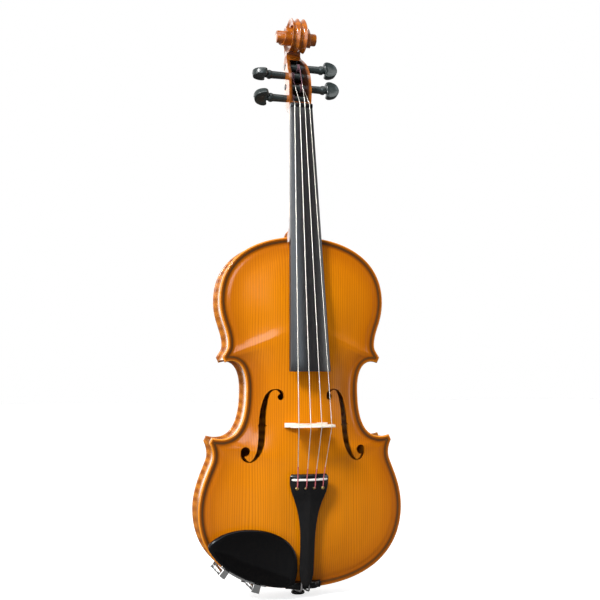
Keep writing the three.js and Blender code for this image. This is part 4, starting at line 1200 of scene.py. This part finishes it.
def string_coil(name, facts, material):
    """Helix on the peg: the string goes round and moves along by its own thickness each turn."""
    radius = coil_radius(facts)
    turns = COIL_WIDTH / (2.05 * facts["wire"])
    t = np.linspace(0, 1, int(turns * 28))
    angle = t * turns * math.tau
    x = facts["coil"] + facts["side"] * (COIL_WIDTH / 2 - COIL_WIDTH * t)
    path = np.stack([x, facts["y"] - radius * np.cos(angle), facts["z"] + radius * np.sin(angle)], 1)
    piece = tube(f"string_coil_{name}_fine", path, facts["wire"], 10)
    finished(piece, material, "string_wire", f"{name}_peg", f"string_coil_{name}", angle=60)


# ---- Fingerboard, nut and saddle ----

def arched_rings(stations, half, edge_y, under_y, points=33):
    """Section at each z: a crowned front between its two edges, and a flat underside."""
    columns = (np.asarray(values, float)[:, None] for values in (stations, half, edge_y, under_y))
    stations, half, edge_y, under_y = columns
    x = half * np.linspace(1, -1, points)[None]
    front = edge_y - (crown(half) - crown(x))
    x = np.hstack([x, -half, half])
    y = np.hstack([front, under_y, under_y])
    return np.stack([x, y, np.broadcast_to(stations, x.shape)], -1)


def board_half(z):
    """Half width of the fingerboard, widening in a straight line from the nut."""
    return BOARD_HALF_AT_NUT + BOARD_WIDENING * (NUT_Z - z) / (NUT_Z - BOARD_END_Z)


def fingerboard(material):
    """Crowned section carried from its lower end up to the nut."""
    z = np.linspace(BOARD_END_Z, NUT_Z, 24)
    piece = loft("fingerboard_fine", arched_rings(z, board_half(z), board_edge(z), glue_face(z) - HAIR))
    bevelled(piece, 0.45)
    finished(piece, material, "black_wood", "violin", "fingerboard")


def nut(material):
    """Crest that rises behind the fingerboard and rolls off towards the pegbox."""
    t = np.linspace(0, 1, 14)
    z = NUT_Z + 0.05 + (NUT_LENGTH - 0.05) * t
    crest = NUT_RISE * np.clip(np.sin(np.pi * (0.16 + 0.84 * t)), 0, 1) ** 0.5
    lift = crest - 2.6 * np.clip(t - 0.55, 0, 1) ** 2
    half, under = np.full(len(t), BOARD_HALF_AT_NUT), np.full(len(t), glue_face(NUT_Z) - HAIR)
    rings = arched_rings(z, half, BOARD_EDGE_AT_NUT - lift, under)
    piece = loft("nut_fine", rings)
    bevelled(piece, 0.35)
    finished(piece, material, "black_wood", "violin", "nut")


def saddle(material):
    """Block let into the edge, its crest a flat-topped hump across and rounded over from front to back."""
    x = np.linspace(-18, 18, 61)
    hump = 4.5 / (1 + np.exp((np.abs(x) - 13.4) / 0.9))
    t = np.linspace(0, 1, 13)
    roll = 1.5 * np.abs(2 * t - 1) ** 3
    crest = -21 - hump[None] + roll[:, None]
    z = np.broadcast_to((0.1 + 6.9 * t)[:, None], crest.shape)
    across = np.broadcast_to(x[None], crest.shape)
    foot = np.full((13, 1), -15.6)
    ring_x = np.hstack([across, np.full((13, 1), 18.0), np.full((13, 1), -18.0)])
    ring_y = np.hstack([crest, foot, foot])
    ring_z = np.hstack([z, z[:, :1], z[:, :1]])
    piece = loft("saddle_fine", np.stack([ring_x, ring_y, ring_z], -1))
    bevelled(piece, 0.4)
    finished(piece, material, "black_wood", "violin", "saddle")


# ---- Tailpiece, fret, tailgut and end button ----

TAIL_SECTIONS = [
    (115.6, 17.6, -44.2), (114, 19.3, -45.4), (108, 19.8, -45.6), (100, 18.4, -44.9),
    (90, 14.6, -43.7), (78, 10.8, -42.2), (64, 8.4, -40.4), (48, 7.4, -38.4), (28, 7.2, -35.9),
    (14, 6.6, -34), (8, 5, -33), (4.6, 2.4, -32)]


def tailpiece(material):
    """Crowned where the strings hook on and roofed with a ridge below, over a flat underside that rises
    towards the end button."""
    rows = smooth_curve(TAIL_SECTIONS, 90)
    z, half, crest = rows[:, :1], rows[:, 1:2], rows[:, 2:3]
    x = half * np.linspace(1, -1, 41)[None]
    roofed = np.clip((101 - z) / 12, 0, 1)
    drop = np.minimum(0.46 * half, 5.0)
    roof = drop * np.abs(x / half) ** 0.92
    front = crest + (1 - roofed) * crown(x) + roofed * roof
    height = 6 * (0.5 + 0.5 * np.clip(half / 12, 0, 1))
    edge = front[:, :1]
    under = np.maximum(crest + height, edge + 1.2)
    ring_x = np.hstack([x, -half, half])
    ring_y = np.hstack([front, under, under])
    piece = loft("tailpiece_fine", np.stack([ring_x, ring_y, np.broadcast_to(z, ring_x.shape)], -1))
    bevelled(piece, 0.55, angle=50)
    tools = []
    for x_of in string_places(STRING_AT_TAIL):
        tools.append(rod("key_hole", "y", (x_of, 0, KEY_Z), -60, -30, 1.7, 32))
        tools.append(block("key_slot", (x_of - 0.5, -60, KEY_Z), (x_of + 0.5, -30, KEY_Z + 5.4)))
    combined(piece, "DIFFERENCE", *tools)
    finished(piece, material, "black_wood", "violin", "tailpiece", angle=30)


def string_places(inner):
    """x of the four strings, evenly spaced, from that of the inner ones."""
    return (-3 * inner, -inner, inner, 3 * inner)


def tail_fret(material):
    """Half-round bar bent across the tailpiece, drawn in at both ends."""
    t = np.linspace(-1, 1, 61)
    x = 18.6 * t
    size = np.clip((1 - np.abs(t) ** 16), 0.02, 1) ** 0.5
    angle = np.arange(16) / 16 * math.tau
    path = np.stack([x, TAIL_CROWN + crown(x), np.full(61, FRET_Z)], 1)
    y = path[:, 1:2] - 0.9 - 0.9 * np.sin(angle)[None] * size[:, None]
    z = path[:, 2:3] + 1.2 * np.cos(angle)[None] * size[:, None]
    piece = loft("tailpiece_fret_fine", np.stack([np.broadcast_to(x[:, None], y.shape), y, z], -1))
    finished(piece, material, "fret_white", "violin", "tailpiece_fret", angle=60)


GUT_RADIUS = 0.9
GUT_TURN = 4.5


def tailgut(material):
    """Cord from under the tailpiece over the saddle, half a turn round the button's neck, and back."""
    half = np.array([
        (3.4, -27.6, 26), (3.4, -27.3, 10), (3.8, -26.8, 4), (4, -26.5, 0.2), (4.2, -24.6, -1.4),
        (4.5, -19, -2.6)])
    angle = np.radians(np.arange(0, 181, 15))
    turn = np.stack([np.cos(angle) * GUT_TURN, np.sin(angle) * GUT_TURN, np.full(len(angle), -3.9)], 1)
    path = np.vstack([half, turn, half[::-1] * (-1, 1, 1)])
    piece = tube("tailgut_fine", smooth_curve(path, 140), GUT_RADIUS, 14)
    finished(piece, material, "tailgut_cord", "violin", "tailgut", angle=60)


def tailgut_nuts(material):
    """Rings turned about the cord's two ends, with a knurled band of 24 teeth."""
    profile = np.array([(0.95, 0), (2.1, 0), (2.3, 0.25), (2.3, 2.75), (2.1, 3), (0.95, 3), (0.95, 0)])
    angle = np.arange(48) / 48 * math.tau
    knurl = np.where(profile[:, :1] > 2.2, 1 - 0.03 * (np.cos(24 * angle) > 0), 1)
    for name, side in SIDES.items():
        x = side * 3.4 + profile[:, :1] * knurl * np.cos(angle)
        y = -27.4 + profile[:, :1] * knurl * np.sin(angle)
        z = 20.6 - np.repeat(profile[:, 1:2], 48, 1)
        faces = ring_faces(len(profile), 48, caps=False)
        piece = new_object(f"tailgut_nut_{name}_fine", np.stack([x, y, z], -1).reshape(-1, 3), faces)
        finished(piece, material, "clamp_metal", "violin", f"tailgut_nut_{name}")


def end_button(material):
    """Turned knob with a groove for the tailgut, and the shank that holds it in the body."""
    profile = [
        (AXIS, -9.5), (5.2, -9.5), (6.2, -9.3), (6.8, -8.8), (7.0, -8.0), (6.95, -7.2), (6.6, -6.5),
        (5.7, -6.0), (4.3, -5.7), (3.5, -5.3), (3.3, -4.6), (3.3, 17), (AXIS, 17)]
    piece = lathe("end_button_fine", profile, "z", (0, 0, 0), 72)
    finished(piece, material, "black_wood", "violin", "end_button")


# ---- Bridge ----

BRIDGE_HEIGHT = 37.0
BRIDGE_SIDE = [
    (22.2, 0), (22.2, 3.6), (20.6, 5.6), (17.4, 6.6), (15.2, 7.6), (13.8, 10), (14.4, 12.2),
    (16.2, 12.9), (17.6, 12.2), (18.6, 13.4), (17.4, 15.4), (14.4, 15.8), (12.2, 16), (10.9, 18.4),
    (11.8, 21.2), (14.2, 22.3), (16.4, 21.6), (17.4, 19.6), (19.6, 18.6), (21.6, 20.2), (22.4, 23.4),
    (22.4, 27)]
BRIDGE_ARCH = [(11.4, 0), (11, 3), (9.6, 5.6), (6.6, 7.8), (3, 8.5), (0, 8.6)]
BRIDGE_HEART = [(0, 16.4), (2.2, 19.1), (4.5, 22.2), (4.1, 25.2), (2, 26.3), (0, 24.8)]


def front_of_top(x, z):
    """y of the top's front face at each place, from the nearest of its own closely spaced points."""
    share = np.linspace(0, 1, 160)[:, None]
    known_x = (share * OUTLINE[:, 0]).ravel()
    known_z = (SPINE + share * (OUTLINE[:, 1] - SPINE)).ravel()
    height = EDGE + TOP_ARCH * arching(share)
    gap = (np.abs(x)[:, None] - known_x) ** 2 + (z[:, None] - known_z) ** 2
    return -(RIB_HALF + height.ravel()[gap.argmin(1)])


def bridge(material):
    """Outline cut from a wedge, thin at the crown, with feet that follow the top's arching."""
    side = smooth_curve(BRIDGE_SIDE, 90)
    crown_x = np.linspace(21.6, 0, 24)
    top = np.stack([crown_x, BRIDGE_HEIGHT - crown(crown_x)], 1)
    arch = smooth_curve(BRIDGE_ARCH, 26)
    foot_x = np.linspace(11.4, 22.2, 10)[1:-1]
    foot = np.stack([foot_x, np.zeros(8)], 1)
    right = np.vstack([arch[::-1], foot, side, top])
    whole = np.vstack([right, (right[1:-1] * (-1, 1))[::-1]])
    heights = whole[:, 1]
    front = BRIDGE_CROWN + BRIDGE_HEIGHT - heights
    foot_line = front_of_top(whole[:, 0], np.full(len(whole), BRIDGE_Z))
    y = np.minimum(front, foot_line)
    y = np.where(heights < 0.01, foot_line + 0.05, y)
    thickness = 4.4 - 2.9 * heights / BRIDGE_HEIGHT
    rings = [np.stack([whole[:, 0], y, BRIDGE_Z + sign * thickness / 2], 1) for sign in (-1, 1)]
    piece = loft("bridge_fine", rings)
    heart = smooth_curve(BRIDGE_HEART, 40)
    heart = np.vstack([heart, (heart[1:-1] * (-1, 1))[::-1]])
    heart_y = BRIDGE_CROWN + BRIDGE_HEIGHT - heart[:, 1]
    tool = loft("bridge_heart", [
        np.stack([heart[:, 0], heart_y, np.full(len(heart), BRIDGE_Z + d)], 1) for d in (-6, 6)])
    combined(piece, "DIFFERENCE", tool)
    bevelled(piece, 0.22, 2, 50)
    finished(piece, material, "bridge_wood", "violin", "bridge", angle=30)


# ---- Strings ----

STRINGS = {
    "g": {"place": 0, "radius": 0.42, "silk": 124.0},
    "d": {"place": 1, "radius": 0.4, "silk": 122.0},
    "a": {"place": 2, "radius": 0.35, "silk": 121.5},
    "e": {"place": 3, "radius": 0.3, "silk": 123.0},
}


def string_path(facts, peg_facts):
    """Key hole, over the fret, the bridge and the nut, and to the front of the peg."""
    radius, place_on = facts["radius"], facts["place"]
    tail_x = string_places(STRING_AT_TAIL)[place_on]
    bridge_x = string_places(STRING_AT_BRIDGE)[place_on]
    nut_x = string_places(STRING_AT_NUT)[place_on]
    fret_y = TAIL_CROWN + crown(tail_x) - 1.8 - radius
    bridge_y = BRIDGE_CROWN + crown(bridge_x) - radius * 0.5
    nut_y = BOARD_EDGE_AT_NUT - NUT_RISE - (crown(BOARD_HALF_AT_NUT) - crown(nut_x)) - radius * 0.6
    return np.array([
        (tail_x, -41, KEY_Z - 0.2), (tail_x, fret_y + 2.6, KEY_Z + 0.2), (tail_x, fret_y + 1.2, KEY_Z + 1.6),
        (tail_x, fret_y, FRET_Z - 1.4), (tail_x, fret_y, FRET_Z + 1.0), (bridge_x, bridge_y, BRIDGE_Z - 0.9),
        (bridge_x, bridge_y, BRIDGE_Z + 0.9), (nut_x, nut_y, NUT_Z + 1.0), (nut_x, nut_y, NUT_Z + 3.4),
        coil_start(peg_facts)])


def string(name, facts, peg_facts, wire, silk, dark_silk, brass):
    """Wire along its whole path, with silk over the tailpiece end, a darker silk sleeve at the peg, and a
    ball behind the key hole."""
    path = string_path(facts, peg_facts)
    piece = tube(f"string_{name}_fine", path, facts["radius"], 14)
    finished(piece, wire, "string_wire", "violin", f"string_{name}", angle=60)
    fret, rest = path[4], path[5]
    silk_end = fret + (rest - fret) * (facts["silk"] - fret[2]) / (rest[2] - fret[2])
    covered = resampled(np.vstack([path[:5], silk_end]), 60)
    lower = tube(f"string_silk_{name}", covered, facts["radius"] + 0.14, 14)
    finished(lower, silk, "string_wire", "violin", angle=60)
    start, stop = path[-2], path[-1]
    share = (peg_facts["sleeve"] - start[2]) / (stop[2] - start[2])
    covered = np.linspace(start + (stop - start) * share, stop, 12)
    upper = tube(f"string_sleeve_{name}", covered, facts["radius"] + 0.16, 14)
    finished(upper, dark_silk, "string_wire", "violin", angle=60)
    rim = [(0.5, -1.3), (1.4, -1.3), (1.55, -1.0), (1.55, 1.0), (1.4, 1.3), (0.5, 1.3), (0.5, -1.3)]
    ball = lathe(f"string_ball_{name}", rim, "x", (path[0, 0], -42.6, KEY_Z - 0.1), 28)
    finished(ball, brass, "string_wire", "violin")


# ---- Chinrest and its clamp ----

REST_OUTLINE = [
    (-99, 49), (-88, 57.5), (-72, 61.8), (-56, 62.2), (-38, 59), (-22, 51), (-12, 39), (-9.6, 24),
    (-12.5, 9.5), (-22, 4.5), (-40, 7), (-62, 14.5), (-82, 26), (-95, 39)]
REST_RINGS = [
    (0.02, -25.2), (0.5, -25.2), (0.74, -25.4), (0.9, -26.4), (0.97, -28), (1, -30.5), (0.995, -32.4),
    (0.97, -33.7), (0.94, -34), (0.9, -33.8), (0.82, -33), (0.66, -31.4), (0.4, -29.8), (0.2, -29.3),
    (0.02, -29.2)]
REST_CENTRE = np.array([-54, 33])


def chinrest_plate(material):
    """Closed outline scaled towards its middle ring by ring: a rounded rim round a hollow dish."""
    outline = closed_curve(REST_OUTLINE, 168)
    rings = smooth_curve(REST_RINGS * np.array([30, 1]), 70) / (30, 1)
    flat = REST_CENTRE + (outline[None] - REST_CENTRE) * rings[:, None, :1]
    y = np.broadcast_to(rings[:, 1:2], flat.shape[:2])
    piece = loft("chinrest_plate_fine", np.stack([flat[..., 0], y, flat[..., 1]], -1))
    finished(piece, material, "black_chinrest", "violin", "chinrest_plate", angle=60)


CLAMP_SPAN = (0.46, 0.8)
LEG_SHARES = (0.51, 0.745)
LEG_OUT = 4.1
POST_RADIUS = 1.5
EAR_SHARE = 0.022  # half an ear's width, as a share of the edge's curve


def outside_edge(share, distance):
    """Points at a distance square out from the lower edge on the bass side, at each share of its curve."""
    point, tangent = bezier(STRETCHES["bottom"][0], np.atleast_1d(share))
    out = np.stack([-tangent[:, 1], tangent[:, 0]], 1)
    return (point + out * distance) * (-1, 1)


def edge_strip(name, near, far, front, back, span=CLAMP_SPAN):
    """Flat strip that follows the body's edge between two distances from it."""
    share = np.linspace(*span, 48)
    inner, outer = outside_edge(share, near), outside_edge(share, far)
    return strip(name, [(inner, front), (outer, front), (outer, back), (inner, back)])


def threaded_leg(name, centre, start, end):
    """Screw: its radius rises and falls along it by a tenth of a millimetre."""
    along = np.linspace(start, end, 110)
    thread = POST_RADIUS - 0.1 + 0.1 * np.cos(along / 0.8 * math.tau)
    profile = np.vstack([[AXIS, start], np.stack([thread, along], 1), [AXIS, end]])
    return lathe(name, profile, "y", centre, 20)


def clamp(metal, cork):
    """Brackets on cork at the front and back edges, each with an ear at both legs, and the threaded legs
    drawn together by their long nuts."""
    legs = [outside_edge(share, LEG_OUT)[0] for share in LEG_SHARES]
    for label, body, near, front, back, thread in (
            ("clamp_upper_bracket", "violin", -8, -24.6, -22.2, (-24, -1.5)),
            ("clamp_foot_bracket", "clamp_foot", -7, 22.2, 24.4, (1.5, 24))):
        band = bevelled(edge_strip("clamp_strip", near, -0.5, front, back), 0.6)
        spans = [(share - EAR_SHARE, share + EAR_SHARE) for share in LEG_SHARES]
        ears = [bevelled(edge_strip("clamp_ear", -4, 7, front, back, span), 0.6) for span in spans]
        screws = [threaded_leg("clamp_leg", (x, 0, z), *thread) for x, z in legs]
        piece = joined(f"{label}_fine", band, *ears, *screws)
        finished(piece, metal, "clamp_metal", body, label, angle=30)
    for label, body, front, back in (
            ("chinrest_cork", "violin", -22.18, -20.0), ("clamp_cork", "clamp_foot", 20.0, 22.18)):
        pad = bevelled(edge_strip(f"{label}_fine", -7, -0.5, front, back), 0.3, 2)
        finished(pad, cork, "cork", body, label)
    for label, (x, z) in zip(SIDES, legs):
        barrel(label, (x, 0, z), metal)


def barrel(label, centre, metal):
    """Long nut: plain collars at its ends, two knurled bands, and two cross holes for the turning pin."""
    half = [
        (2.85, 4.6), (2.75, 4.9), (3, 5.2), (3, 8.0), (2.75, 8.3), (3, 8.6), (3, 10.6), (2.7, 11),
        (1.62, 11)]
    profile = [(radius, -along) for radius, along in half[::-1]] + half + [(1.62, -11)]
    reach, along = np.array(profile).T
    angle = np.arange(72) / 72 * math.tau
    banded = (np.abs(along) > 5) & (np.abs(along) < 8.2)
    size = reach[:, None] * np.where(banded[:, None], 1 - 0.035 * (np.sin(24 * angle) > 0), 1)
    x = centre[0] + size * np.cos(angle)
    y = centre[1] + np.repeat(along[:, None], 72, 1)
    z = centre[2] + size * np.sin(angle)
    faces = ring_faces(len(along), 72, caps=False)
    piece = new_object(f"clamp_barrel_{label}_fine", np.stack([x, y, z], -1).reshape(-1, 3), faces)
    combined(
        piece, "DIFFERENCE", rod("pin_hole", "x", (centre[0], 2.2, centre[2]), -5, 5, 0.95, 24),
        rod("pin_hole", "z", (centre[0], -2.2, centre[2]), -5, 5, 0.95, 24))
    finished(piece, metal, "clamp_metal", f"clamp_barrel_{label[0]}", f"clamp_barrel_{label}", angle=30)


# ---- The whole violin ----

HIDDEN_WOOD = [
    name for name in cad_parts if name.endswith("_block") or "_lining_" in name or "_block_" in name]


def bare_wood_inside(material):
    """Blocks, linings, bass bar and sound post keep their own shapes and get unvarnished wood."""
    for name in HIDDEN_WOOD + ["bass_bar", "sound_post"]:
        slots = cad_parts[name].data.materials
        slots.clear()
        slots.append(material)


def build():
    """Every piece with its material, from the body up to the strings and out to the chinrest."""
    fittings, metal = MATERIALS["fittings"], MATERIALS["plate"]
    top_plate(MATERIALS["spruce"])
    back_plate(MATERIALS["back"])
    ribs(MATERIALS["ribs"])
    bare_wood_inside(MATERIALS["bare"])
    neck_and_scroll(MATERIALS["neck"])
    fingerboard(MATERIALS["board"])
    nut(fittings)
    saddle(fittings)
    tailpiece(fittings)
    tail_fret(MATERIALS["fret"])
    tailgut(MATERIALS["gut"])
    tailgut_nuts(metal)
    end_button(fittings)
    bridge(MATERIALS["bridge"])
    for name, facts in PEGS.items():
        peg(name, facts, MATERIALS["pegs"])
        string_coil(name, facts, MATERIALS["dark_silk"])
        string(
            name, STRINGS[name], facts, MATERIALS["wire"], MATERIALS["silk"], MATERIALS["dark_silk"],
            MATERIALS["brass"])
    chinrest_plate(MATERIALS["chinrest"])
    clamp(metal, MATERIALS["cork"])


set_view()
add_camera()
add_room()
add_floor()
add_lights()
build()
